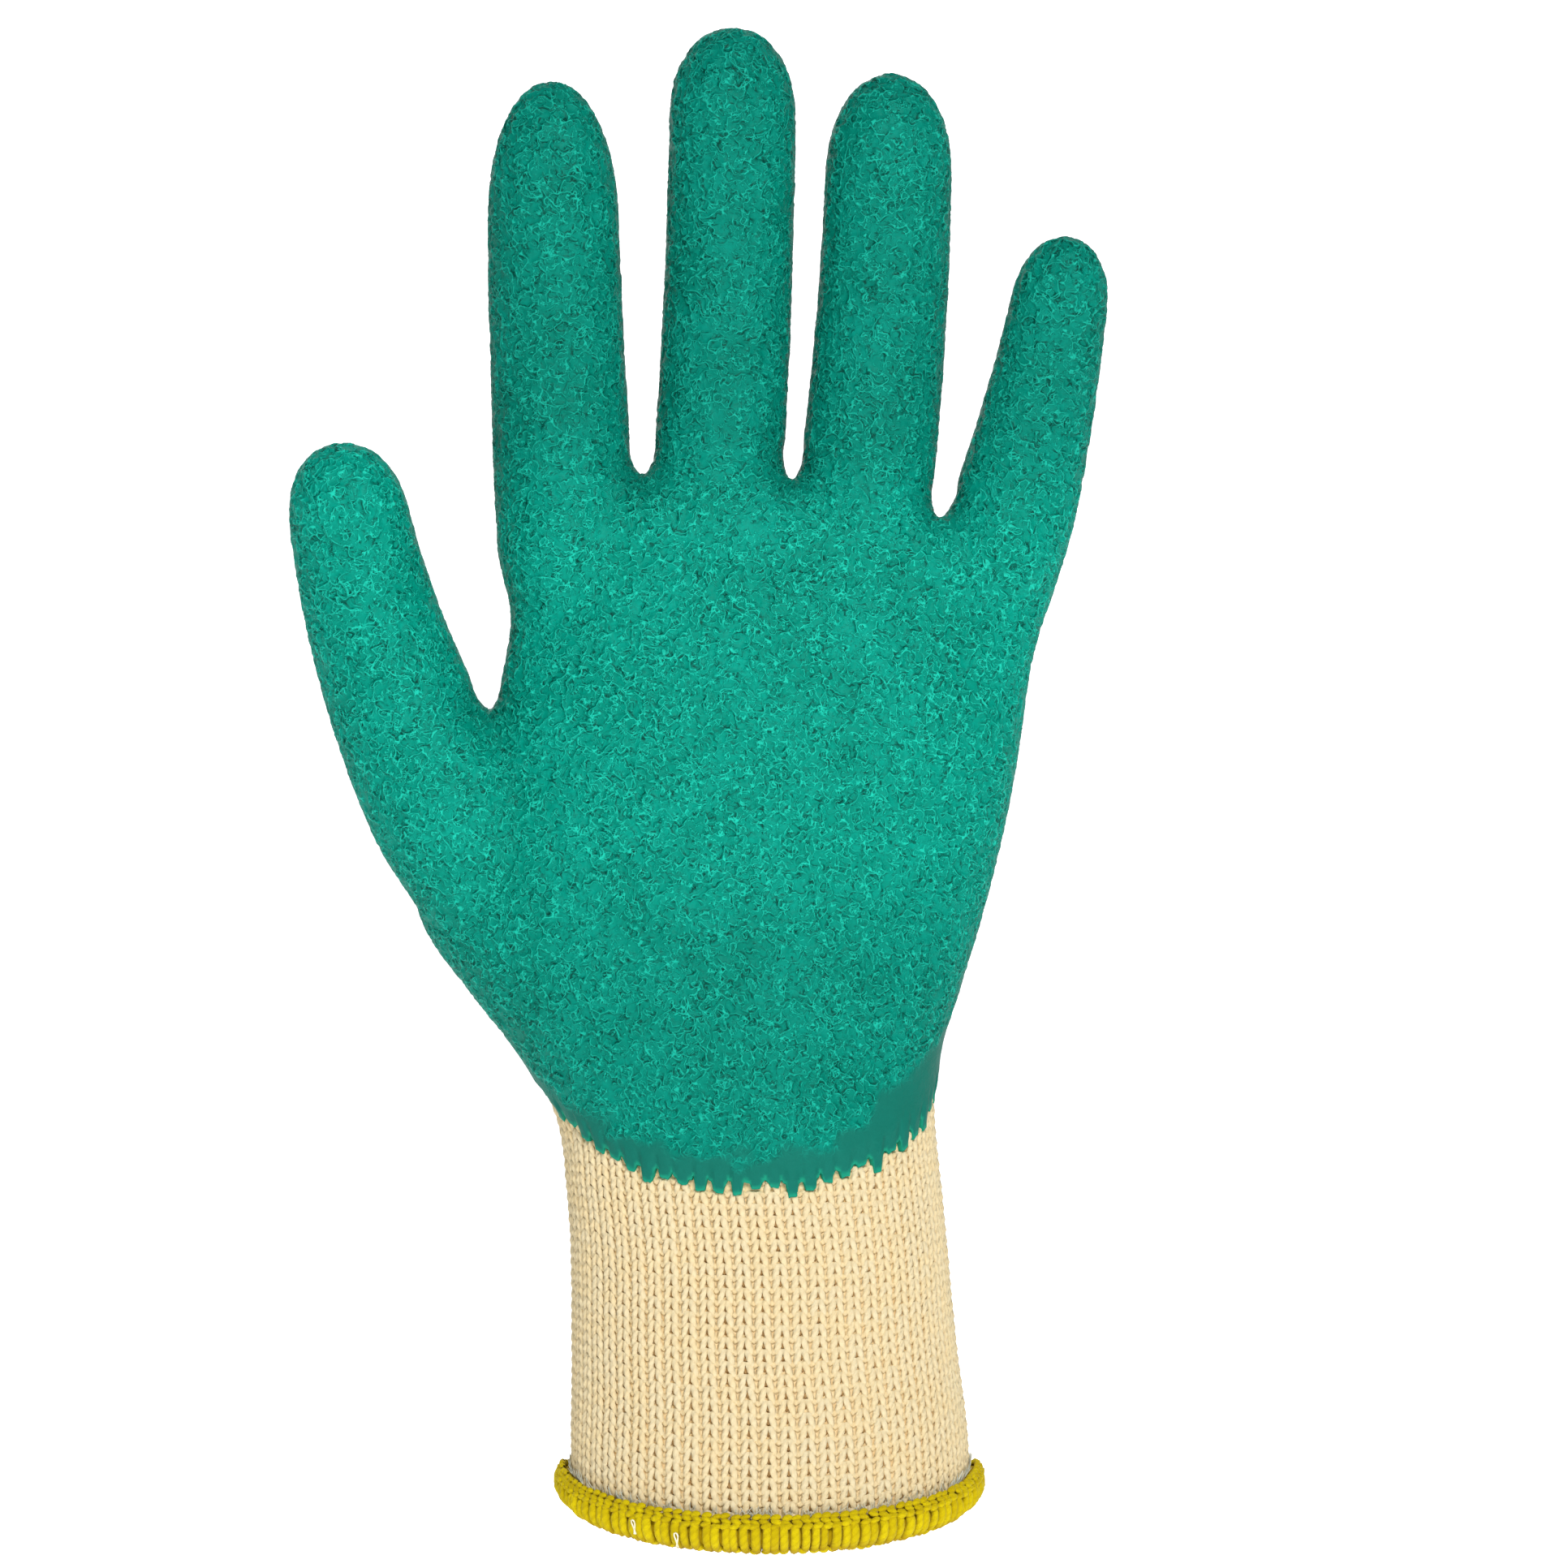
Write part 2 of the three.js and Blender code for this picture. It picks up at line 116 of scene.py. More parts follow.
# Knit
CUFF_WALES = 56
CUFF_COURSE = 1.8
CUFF_COURSES = 39
CUFF_KNIT_START = 3.4
HAND_WALES = 82
HAND_COURSE = 1.95
FINGER_WALE = 2.75
CUFF_YARN_RADIUS = 0.64
HAND_YARN_RADIUS = 0.46
YARN_SHARE = 0.215  # the yarn's radius as a share of the space between two wales, where that is less
YARN_SIDES = 5
YARN_FLATNESS = 0.8
UNEVEN_LENGTH = 0.03
UNEVEN_WIDTH = 0.035
UNEVEN_LIFT = 0.025
LONGEST_STEP = 4.5  # a stitch isn't stretched further than this
FARTHEST_HIT = 9.0  # a finger's skin lies no further than this off its plain tube
UNDER_COAT = 1.4  # how far the yarn runs on under the coating
CUFF_UNDER_COAT = 1.6
KNIT_STARTS = {"index": -5.0, "middle": -1.0, "ring": -1.0, "little": -8.0, "thumb": -25.0}
RIB_SIDE_TOP = 75.0  # on the palm side the ribs run on up to the coating
PALM = -1


def unit(vectors):
    length = np.linalg.norm(vectors, axis=-1, keepdims=True)
    return vectors / np.maximum(length, 1e-9)


def smoothstep(low, high, value):
    share = np.clip((value - low) / (high - low), 0, 1)
    return share * share * (3 - 2 * share)


# Noise


def noise(points, seed):
    """Gradient noise at points, roughly from -1 to 1, with features about one unit across."""
    random = np.random.default_rng(seed)
    gradients = unit(random.normal(size=(256, 3)))
    order = random.permutation(256)
    cell = np.floor(points).astype(np.int64)
    inside = points - cell
    ease = inside**3 * (inside * (inside * 6 - 15) + 10)
    total = np.zeros(len(points))
    for corner in np.ndindex(2, 2, 2):
        place = (cell + corner) & 255
        index = order[(order[(order[place[:, 0]] + place[:, 1]) & 255] + place[:, 2]) & 255]
        weight = np.prod(np.where(corner, ease, 1 - ease), axis=1)
        total += weight * np.einsum("ij,ij->i", gradients[index], inside - corner)
    return total * 1.6


def wandering(points, size, seed):
    """Noise whose zero lines wander as creases in a wet skin do."""
    bend = np.stack([noise(points / (0.62 * size), seed + k) for k in (1, 2, 3)], axis=1)
    return noise(points / size + 0.42 * bend, seed)


# Sections of cuff and palm

TURN_STEPS = 720  # how finely an outline is measured


def section_table():
    rows = []
    for up, left, right, front, back, dip, square in CUFF_SECTIONS:
        widths = [left * CUFF_WIDTH, right * CUFF_WIDTH, front * CUFF_DEPTH, back * CUFF_DEPTH]
        rows.append([up * CUFF_LENGTH, *widths, dip * HEM_DIP, 0, 0, square])
    for up, left, right, front, back, drop, arch, square in PALM_SECTIONS:
        widths = [left * PALM_WIDTH, right * PALM_WIDTH, front * PALM_DEPTH, back * PALM_DEPTH]
        bend = [drop * PALM_LENGTH, arch * PALM_LENGTH]
        rows.append([CUFF_LENGTH + up * PALM_LENGTH, *widths, 0, *bend, square])
    return np.array(rows)


SECTIONS = section_table()


def section_at(heights):
    """Section rows at any heights, on a smooth curve through the table's rows."""
    knots = SECTIONS[:, 0]
    slopes = np.gradient(SECTIONS, knots, axis=0)
    height = np.clip(heights, knots[0], knots[-1])
    low = np.clip(np.searchsorted(knots, height, side="right") - 1, 0, len(knots) - 2)
    gap = (knots[low + 1] - knots[low])[:, None]
    t = (height - knots[low])[:, None] / gap
    start = SECTIONS[low] * (2 * t**3 - 3 * t**2 + 1) + slopes[low] * gap * (t**3 - 2 * t**2 + t)
    end = SECTIONS[low + 1] * (3 * t**2 - 2 * t**3) + slopes[low + 1] * gap * (t**3 - t**2)
    return start + end


def outline(rows, turns, grow=0.0, lift=0.0):
    """Points of section outlines: one for each row and each turn."""
    z, left, right, front, back, dip, drop, arch, square = (rows[:, k, None] for k in range(9))
    power = 2 / square
    across = np.sign(np.cos(turns)) * np.abs(np.cos(turns)) ** power
    deep = np.sign(np.sin(turns)) * np.abs(np.sin(turns)) ** power
    depth = np.where(deep < 0, front, back)
    sag = np.where(deep < 0, dip, dip / 2)
    x = (right - left) / 2 + across * ((right + left) / 2 + grow)
    y = deep * (depth + grow)
    height = z + lift - sag * np.abs(deep) - across * drop / 2 + arch * (1 - across**2)
    return np.stack([x, y, height], axis=-1)


def measured_outline(row, turns):
    """A section's outline, and the length along it to each of its points."""
    ring = outline(row[None], turns)[0]
    return ring, np.concatenate([[0], np.cumsum(np.linalg.norm(np.diff(ring, axis=0), axis=1))])


def even_turns(row, count, shift=0.0):
    """Turns that divide a section's outline into even lengths."""
    turns = np.linspace(0, 2 * math.pi, TURN_STEPS + 1)
    _, length = measured_outline(row, turns)
    wanted = (np.arange(count) + shift) / count * length[-1]
    return np.interp(wanted % length[-1], length, turns)


def turn_share(points, row):
    """How far round a section's outline points lie, from 0 to 1 by length."""
    ring, length = measured_outline(row, np.linspace(-math.pi, math.pi, TURN_STEPS + 1))
    middle = (row[2] - row[1]) / 2
    angle = np.arctan2(points[:, 1], points[:, 0] - middle)
    ring_angle = np.arctan2(ring[:, 1], ring[:, 0] - middle)
    ring_angle[0], ring_angle[-1] = -math.pi, math.pi
    share = np.interp(angle, ring_angle, length) / length[-1]
    start = np.interp(0, ring_angle, length) / length[-1]
    return (share - start) % 1


# Fingers


def finger_sizes(row):
    name, across, up, root_lean, tip_lean, long, wide, deep, taper, cap = row
    is_thumb = name == "thumb"
    length = long * (THUMB_LENGTH if is_thumb else FINGER_LENGTH)
    width = wide * (THUMB_WIDTH if is_thumb else FINGER_WIDTH)
    return {
        "name": name,
        "x": across * PALM_WIDTH,
        "z": CUFF_LENGTH + up * PALM_LENGTH,
        "forward": THUMB_FORWARD if is_thumb else 0.0,
        "root": math.radians(root_lean),
        "bend": math.radians(tip_lean - root_lean) / length,
        "length": length,
        "width": width,
        "depth": deep * (THUMB_DEPTH if is_thumb else FINGER_DEPTH),
        "taper": taper,
        "cap_start": length - cap * width,
        "roots": THUMB_ROOTS if is_thumb else FINGER_ROOTS,
    }


FINGERS = [finger_sizes(row) for row in FINGER_ROWS]


def finger_frame(finger, along):
    """Centre, forward, side and rear directions along a finger's centre line."""
    lean = finger["root"] + finger["bend"] * along
    share = np.maximum(along, 0) / finger["length"]
    pitch = np.arctan(2 * FINGER_CURL * share / finger["length"])
    centre_x = finger["x"] + (math.cos(finger["root"]) - np.cos(lean)) / finger["bend"]
    centre_z = finger["z"] + (np.sin(lean) - math.sin(finger["root"])) / finger["bend"]
    centre = np.stack([centre_x, -finger["forward"] - FINGER_CURL * share**2, centre_z], axis=-1)
    forth = np.stack([np.sin(lean) * np.cos(pitch), -np.sin(pitch), np.cos(lean) * np.cos(pitch)], axis=-1)
    side = np.stack([np.cos(lean), np.zeros_like(lean), -np.sin(lean)], axis=-1)
    return centre, forth, side, np.cross(forth, side)


def finger_halves(finger, along):
    """Half width and half depth of a finger along its length."""
    length, cap_start = finger["length"], finger["cap_start"]
    top = 1 + (finger["taper"] - 1) * cap_start / length
    roots = finger["roots"]
    places = [row[0] * length for row in roots] + [0, cap_start]
    wide = np.interp(along, places, [row[1] for row in roots] + [1, top])
    deep = np.interp(along, places, [row[2] for row in roots] + [1, top])
    rise = np.clip((along - cap_start) / (length - cap_start), 0, 1)
    round_off = np.sqrt(np.maximum(1 - rise**2, 0))
    return wide * round_off * finger["width"] / 2, deep * round_off * finger["depth"] / 2


def finger_place(finger, points):
    """Where points lie on a finger: along it, to its side and behind its centre line."""
    along = np.full(len(points), 0.3 * finger["length"])
    for _ in range(5):
        centre, forth, _, _ = finger_frame(finger, along)
        along = along + np.einsum("ij,ij->i", points - centre, forth)
    centre, _, side, rear = finger_frame(finger, along)
    off = points - centre
    return along, np.einsum("ij,ij->i", off, side), np.einsum("ij,ij->i", off, rear)


def finger_owner(points, reach=3.0, starts=None):
    """The finger each point lies on, or PALM, with its place along and behind that finger."""
    owner = np.full(len(points), PALM)
    best = np.full(len(points), 1e9)
    where = np.zeros((len(points), 2))
    for number, finger in enumerate(FINGERS):
        along, side, rear = finger_place(finger, points)
        half_width, half_depth = finger_halves(finger, np.clip(along, 0, finger["cap_start"]))
        off = np.hypot(side / (half_width + reach), rear / (half_depth + reach))
        start = starts[finger["name"]] if starts else 0.0
        mine = (along > start) & (along < finger["length"] + 2 * reach) & (off < 1) & (off < best)
        owner[mine] = number
        best[mine] = off[mine]
        where[mine] = np.stack([along, rear], axis=1)[mine]
    return owner, where[:, 0], where[:, 1]


# Meshes in numpy


def side_pairs(faces):
    """The two points of each side of each face, in the face's direction."""
    sides = faces.shape[1]
    return np.concatenate([faces[:, [k, (k + 1) % sides]] for k in range(sides)])


def edge_keys(pairs, count):
    """One number for each edge of a mesh of count points, whichever way the edge runs."""
    return pairs.min(axis=1).astype(np.int64) * count + pairs.max(axis=1)


def edges_of(faces, count):
    keys = np.unique(edge_keys(side_pairs(faces), count))
    return np.stack([keys // count, keys % count], axis=1)


def smoothed(points, edges, passes, share=0.5):
    a, b = edges.T
    count = len(points)
    degree = np.maximum(np.bincount(edges.ravel(), minlength=count), 1)[:, None]
    for _ in range(passes):
        columns = [
            np.bincount(a, points[b, k], count) + np.bincount(b, points[a, k], count)
            for k in range(points.shape[1])
        ]
        points = points + share * (np.stack(columns, axis=1) / degree - points)
    return points


def triangles_of(quads):
    return np.concatenate([quads[:, [0, 1, 2]], quads[:, [0, 2, 3]]])


def vertex_normals(points, triangles):
    a, b, c = (points[triangles[:, k]] for k in range(3))
    facing = np.cross(b - a, c - a)
    corners = triangles.ravel()
    columns = [np.bincount(corners, np.repeat(facing[:, k], 3), len(points)) for k in range(3)]
    return unit(np.stack(columns, axis=1))


def compacted(points, faces):
    """Drops the points that no face uses."""
    used, faces_left = np.unique(faces, return_inverse=True)
    return points[used], faces_left.reshape(faces.shape)


def subdivided(points, quads):
    """Splits each quad into four."""
    count = len(points)
    edges = edges_of(quads, count)
    keys = edge_keys(edges, count)
    middles = (points[edges[:, 0]] + points[edges[:, 1]]) / 2
    centres = points[quads].mean(axis=1)
    centre = count + len(edges) + np.arange(len(quads))
    sides = [edge_keys(quads[:, [k, (k + 1) % 4]], count) for k in range(4)]
    halves = [count + np.searchsorted(keys, side) for side in sides]
    parts = [np.stack([quads[:, k], halves[k], centre, halves[k - 1]], axis=1) for k in range(4)]
    return np.concatenate([points, middles, centres]), np.concatenate(parts)


def cut_to(data, triangles, field):
    """Keeps the mesh where the field is above zero, with triangles cut along its zero line."""
    inside = field[triangles] > 0
    total = inside.sum(axis=1)
    mixed = (total == 1) | (total == 2)
    some, some_inside, some_total = triangles[mixed], inside[mixed], total[mixed]
    odd = np.where(some_total == 1, some_inside.argmax(axis=1), some_inside.argmin(axis=1))
    a, b, c = (some[np.arange(len(some)), (odd + k) % 3] for k in range(3))
    count = len(data)
    pairs = np.concatenate([np.stack([a, b], axis=1), np.stack([a, c], axis=1)])
    keys, place = np.unique(edge_keys(pairs, count), return_inverse=True)
    low, high = keys // count, keys % count
    share = (field[low] / (field[low] - field[high]))[:, None]
    crossing = data[low] + share * (data[high] - data[low])
    ab, ac = count + place[: len(some)], count + place[len(some) :]
    one = some_total == 1
    corner = np.stack([a, ab, ac], axis=1)[one]
    rest = [np.stack([ab, b, c], axis=1)[~one], np.stack([ab, c, ac], axis=1)[~one]]
    faces = np.concatenate([triangles[total == 3], corner, *rest])
    return compacted(np.concatenate([data, crossing]), faces)


def rim_edges(triangles, count):
    """Edges that only one triangle uses, in its direction."""
    pairs = side_pairs(triangles)
    _, first, uses = np.unique(edge_keys(pairs, count), return_index=True, return_counts=True)
    return pairs[first[uses == 1]]


def wall_below(rim, under):
    """Triangles between the edges of a rim and the edges under them."""
    (a, b), (under_a, under_b) = rim.T, under.T
    return np.concatenate([np.stack([b, a, under_a], axis=1), np.stack([b, under_a, under_b], axis=1)])


def slope_of(points, triangles, values):
    """How fast values change over the surface, at each point."""
    a, b, c = (points[triangles[:, k]] for k in range(3))
    fa, fb, fc = (values[triangles[:, k], None] for k in range(3))
    area = np.linalg.norm(np.cross(b - a, c - a), axis=1)
    climb = np.linalg.norm((fb - fa) * (a - c) + (fc - fa) * (b - a), axis=1)
    corners = triangles.ravel()
    weight = np.bincount(corners, np.repeat(area, 3), len(points))
    return np.bincount(corners, np.repeat(climb, 3), len(points)) / np.maximum(weight, 1e-9)


# Blender objects


def new_piece(name, points, faces, attributes=None, uv=None, normals=None):
    """A smooth mesh object from points in millimetres and faces of one size."""
    mesh = bpy.data.meshes.new(name)
    sides = faces.shape[1]
    mesh.vertices.add(len(points))
    mesh.vertices.foreach_set("co", (points * MM).astype(np.float32).ravel())
    mesh.loops.add(faces.size)
    mesh.loops.foreach_set("vertex_index", faces.astype(np.int32).ravel())
    mesh.polygons.add(len(faces))
    mesh.polygons.foreach_set("loop_start", np.arange(0, faces.size, sides, dtype=np.int32))
    mesh.update(calc_edges=True)
    mesh.polygons.foreach_set("use_smooth", np.ones(len(faces), bool))
    for key, values in (attributes or {}).items():
        kind = "FLOAT" if values.ndim == 1 else "FLOAT_VECTOR"
        layer = mesh.attributes.new(key, kind, "POINT")
        layer.data.foreach_set("value" if values.ndim == 1 else "vector", values.astype(np.float32).ravel())
    if uv is not None:
        mesh.uv_layers.new(name="yarn").data.foreach_set("uv", uv.astype(np.float32).ravel())
    mesh.validate()
    if normals is not None:
        mesh.normals_split_custom_set_from_vertices(normals.astype(np.float32))
    piece = bpy.data.objects.new(name, mesh)
    bpy.context.scene.collection.objects.link(piece)
    return piece


def dress(piece, material, slot, *nodes):
    """Gives a piece its material and body, and hides the nodes that it stands for; the slot is not used."""
    piece.data.materials.append(material)
    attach(piece, BODY)
    if nodes:
        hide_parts(*nodes)
    return piece


# The hand's whole outer form


def ring_quads(low, high, count):
    """Quads between two rings of count points, which start at the points low and high."""
    k = np.arange(count)
    following = (k + 1) % count
    return np.stack([low + k, low + following, high + following, high + k], axis=1)


def closed_loft(rings):
    """Quads through rings of points, with a fan of quads over each end drawn to its middle."""
    count = rings.shape[1]
    ends = [rings[0].mean(axis=0) + 0 * rings[0], *rings, rings[-1].mean(axis=0) + 0 * rings[-1]]
    faces = [ring_quads(r * count, (r + 1) * count, count) for r in range(len(ends) - 1)]
    return np.concatenate(ends), np.concatenate(faces)


def body_rings():
    turns = np.linspace(0, 2 * math.pi, 96, endpoint=False)
    heights = np.concatenate([[SECTIONS[0, 0]], np.arange(2.0, SECTIONS[-1, 0], 1.5), [SECTIONS[-1, 0]]])
    rings = outline(section_at(heights), turns, SHRINK_BACK / 2)
    below = outline(section_at(heights[:1]), turns, SHRINK_BACK / 2, -2 * HEM_HEIGHT)
    return np.concatenate([below, rings])


def finger_rings(finger):
    turns = np.linspace(0, 2 * math.pi, 48, endpoint=False)
    cap_start, length = finger["cap_start"], finger["length"]
    shaft = np.linspace(finger["roots"][0][0] * length, cap_start, 50)
    rise = np.linspace(0, math.pi / 2, 12)[1:-1]
    along = np.concatenate([shaft, cap_start + np.sin(rise) * (length - cap_start)])
    half_width, half_depth = finger_halves(finger, along)
    centre, _, side, rear = finger_frame(finger, along)
    grown_width = (half_width + SHRINK_BACK)[:, None, None]
    grown_depth = (half_depth + SHRINK_BACK)[:, None, None]
    cosine, sine = np.cos(turns)[None, :, None], np.sin(turns)[None, :, None]
    rings = centre[:, None] + side[:, None] * cosine * grown_width + rear[:, None] * sine * grown_depth
    tip, _, _, _ = finger_frame(finger, np.array([length]))
    last = tip[0] + 0.12 * (rings[-1] - rings[-1].mean(axis=0))
    return np.concatenate([rings, last[None]])


def joined_lofts():
    points, faces, offset = [], [], 0
    for rings in [body_rings(), *(finger_rings(finger) for finger in FINGERS)]:
        more_points, more_faces = closed_loft(rings)
        points.append(more_points)
        faces.append(more_faces + offset)
        offset += len(more_points)
    return np.concatenate(points), np.concatenate(faces)


def crotch_distance(points):
    """Distance, seen from the front, to the nearest place where two fingers part."""
    return np.linalg.norm(points[:, None, [0, 2]] - np.array(CROTCHES), axis=2).min(axis=1)


def fused_form(voxel, passes):
    """Cuff, palm and fingers fused into one smooth surface, as points and quads in millimetres."""
    points, faces = joined_lofts()
    mesh = bpy.data.meshes.new("form")
    mesh.from_pydata(points.tolist(), [], faces.tolist())
    form = bpy.data.objects.new("form", mesh)
    bpy.context.scene.collection.objects.link(form)
    fuse = form.modifiers.new("fuse", "REMESH")
    fuse.mode = "VOXEL"
    fuse.voxel_size = voxel
    evaluated = form.evaluated_get(bpy.context.evaluated_depsgraph_get())
    result = evaluated.to_mesh()
    fused = np.empty(len(result.vertices) * 3)
    result.vertices.foreach_get("co", fused)
    fused = fused.reshape(-1, 3)
    corners = np.empty(len(result.loops), np.int32)
    result.loops.foreach_get("vertex_index", corners)
    quads = corners.reshape(-1, 4)
    evaluated.to_mesh_clear()
    bpy.data.objects.remove(form)
    edges = edges_of(quads, len(fused))
    fused = smoothed(fused, edges, passes)
    near = smoothstep(CROTCH_REACH, 0.4 * CROTCH_REACH, crotch_distance(fused))[:, None]
    local_passes = int(CROTCH_PASSES * (FINE_VOXEL / voxel) ** 2)
    return smoothed(fused, edges, local_passes, 0.5 * near), quads


def cuff_edge(points):
    """Height of points above the cuff's lower edge, which dips at front and back."""
    row = SECTIONS[0]
    sag = np.where(points[:, 1] < 0, row[5], row[5] / 2)
    depth = np.where(points[:, 1] < 0, row[3], row[4])
    return points[:, 2] - (row[0] - sag * np.clip(np.abs(points[:, 1]) / depth, 0, 1))


# Latex coating

COAT_OFFSET = 1.0
COAT_RIM = 0.42  # height of the coating's thin rim above the yarn
COAT_RIM_WIDTH = 3.0
COAT_SKIRT = 1.0
TOOTH_DEPTH = 1.45
CREASE_SIZES = (1.75, 2.05, 2.4)
CREASE_HEIGHT = 0.34
CREASE_WIDTH = 0.36
DITCH_DEPTH = 0.2
DITCH_SHIFT = 0.85  # a ditch runs this far beside its crease
DITCH_WIDTH = 0.4
BAND_WIDTH = 1.8  # the smooth band along the dip line
BAND_WIDENING = 5.0  # toward the little finger's side
BAND_WAVE = 2.2
LATEX_PIECES = ("latex_palm", "latex_fingers", "latex_thumb")


def dip_height(points):
    """Distance of points above the line that the coating was dipped to."""
    slope = (COAT_EDGE_SIDE - COAT_EDGE_FRONT) / (CUFF_DEPTH / 2)
    return (points[:, 2] - COAT_EDGE_SIDE - slope * points[:, 1]) / math.hypot(1, slope)


def teeth(points):
    """Uneven teeth along the dip line, one on each raised column of the knit."""
    wale = turn_share(points, section_at(np.array([COAT_EDGE_FRONT]))[0]) * CUFF_WALES
    random = np.random.default_rng(5)
    depth = TOOTH_DEPTH * random.uniform(0.35, 1.5, CUFF_WALES)
    shift = random.uniform(-0.5, 0.5, CUFF_WALES)
    number = np.round(wale).astype(int) % CUFF_WALES
    blunt = smoothstep(0.1, 0.55, 0.5 + 0.5 * np.cos(2 * math.pi * wale))
    return depth[number] * blunt + shift[number] * 0.7


def coat_field(points, ragged=True):
    """How far inside the coating's outline points lie."""
    owner, along, rear = finger_owner(points)
    behind = COAT_WRAP - points[:, 1]
    for number, finger in enumerate(FINGERS):
        mine = owner == number
        wrap = COAT_WRAP + finger["forward"] * np.clip(1 - along[mine] / finger["length"], 0, 1)
        behind[mine] = wrap - rear[mine]
    above = dip_height(points)
    if ragged:
        behind = behind + 0.7 * noise(points / 7, 21) + 0.45 * noise(points / 1.9, 22)
        above = above + teeth(points) + 0.25 * noise(points / 1.1, 23)
    return np.minimum(behind, above)


def creases(points, triangles, strength):
    """Distances to three sets of crease lines, and how strongly each shows."""
    distances, fades = [], []
    for number, size in enumerate(CREASE_SIZES):
        value = wandering(points, size, 100 + 10 * number)
        slope = slope_of(points, triangles, value)
        least = 0.35 * np.median(slope)
        distances.append(np.clip(value / np.maximum(slope, least), -3, 3))
        fades.append(smoothstep(-0.16, 0.2, noise(points / 1.7, 200 + number)) * strength)
    return np.stack(distances, axis=1), np.stack(fades, axis=1)


def crinkle_height(points, distances, fades, strength):
    ridge = (fades * np.exp(-((distances / CREASE_WIDTH) ** 2))).max(axis=1)
    ditch = (fades * np.exp(-(((distances + DITCH_SHIFT) / DITCH_WIDTH) ** 2))).max(axis=1)
    puff = 0.12 * noise(points / 2.2, 31) + 0.1 * noise(points / 1.0, 32)
    return CREASE_HEIGHT * ridge - DITCH_DEPTH * ditch + (0.3 + 0.7 * strength) * puff


def coated_skin(form, quads):
    """The hand's skin within the coating's outline: points, normals, way in from the outline, triangles."""
    near = (coat_field(form, ragged=False)[quads] > -3).any(axis=1)
    points, quads = subdivided(*compacted(form, quads[near]))
    points = smoothed(points, edges_of(quads, len(points)), 2)
    triangles = triangles_of(quads)
    normals = vertex_normals(points, triangles)
    field = coat_field(points)
    data = np.concatenate([points, normals, field[:, None]], axis=1)
    data, triangles = cut_to(data, triangles, field)
    return data[:, :3], unit(data[:, 3:6]), np.maximum(data[:, 6], 0), triangles


def latex_shade(points):
    """Where the latex is painted a little darker as shade: on the fingers, toward the wrist and between the
    fingers.
    """
    on_fingers = smoothstep(158, 182, points[:, 2]) * smoothstep(-58, -48, points[:, 0])
    shade = np.maximum(on_fingers, 0.6 * smoothstep(112, 84, points[:, 2]))
    return shade + 0.7 * smoothstep(8, 2, crotch_distance(points))


def latex_relief(points, normals, field, triangles):
    """The coating's height over the skin, and the layers that its material reads."""
    front = smoothstep(-0.15, 0.55, -normals[:, 1])
    above = dip_height(points)
    smooth = BAND_WIDTH + BAND_WIDENING * smoothstep(6, 26, points[:, 0])
    smooth = smooth + BAND_WAVE * noise(points / 4, 41)
    band = smoothstep(0, 3, above - smooth)
    strength = (0.25 + 0.75 * front) * band * smoothstep(0, 2, field)
    distances, fades = creases(points, triangles, strength)
    height = COAT_RIM + (COAT_OFFSET - COAT_RIM) * smoothstep(0, COAT_RIM_WIDTH, field)
    height = height + crinkle_height(points, distances, fades, strength) * smoothstep(0, 1.2, field)
    return height, {
        "creases": distances,
        "fades": fades,
        "front": front,
        "band": band,
        "shade": latex_shade(points),
        "edge": smoothstep(0.7, 0.2, field) * smoothstep(6, 2, above),
    }


def coating_pieces(form, quads, material):
    points, normals, field, triangles = coated_skin(form, quads)
    height, layers = latex_relief(points, normals, field, triangles)
    outer = points + normals * height[:, None]

    rim = rim_edges(triangles, len(points))
    rim_points, under = np.unique(rim, return_inverse=True)
    skirt = outer[rim_points] - normals[rim_points] * COAT_SKIRT
    layers = {key: np.concatenate([values, values[rim_points]]) for key, values in layers.items()}
    layers["fades"][len(points) :] = 0
    triangles = np.concatenate([triangles, wall_below(rim, under.reshape(rim.shape) + len(points))])
    whole = np.concatenate([outer, skirt])
    whole_normals = vertex_normals(whole, triangles)

    owner, _, _ = finger_owner(np.concatenate([points, points[rim_points]]))
    piece_of = np.where(owner == PALM, 0, np.where(owner == len(FINGERS) - 1, 2, 1))
    face_piece = piece_of[triangles[:, 0]]
    for number, name in enumerate(LATEX_PIECES):
        used, faces = np.unique(triangles[face_piece == number], return_inverse=True)
        mine = {key: values[used] for key, values in layers.items()}
        piece = new_piece(name, whole[used], faces.reshape(-1, 3), mine, normals=whole_normals[used])
        dress(piece, material, "latex", *(["latex_coating"] if number == 0 else []))


# Knitted yarn

# One stitch of the ribbed cuff: across by wale, down by course, out in mm, share of painted shade for the
# recess
RIB_STITCH = [
    (-0.5, 0.6, -0.5, 0.6),
    (-0.32, 0.44, -0.6, 0.5),
    (-0.11, 0.42, -0.3, 0.05),
    (-0.23, 0.96, -0.12, 0.0),
    (-0.31, 1.42, -0.4, 0.2),
    (0.0, 2.0, -0.68, 1.8),
    (0.31, 1.42, -0.4, 0.2),
    (0.23, 0.96, -0.12, 0.0),
    (0.11, 0.42, -0.3, 0.05),
    (0.32, 0.44, -0.6, 0.5),
]

# One stitch of the plain knit of hand and fingers
PLAIN_STITCH = [
    (-0.5, 0.0, -0.7, 0.7),
    (-0.12, 0.45, -0.3, 0.1),
    (-0.22, 1.0, -0.18, 0.0),
    (-0.32, 1.45, -0.38, 0.1),
    (0.0, 1.95, -0.75, 1.6),
    (0.32, 1.45, -0.38, 0.1),
    (0.22, 1.0, -0.18, 0.0),
    (0.12, 0.45, -0.3, 0.1),
]


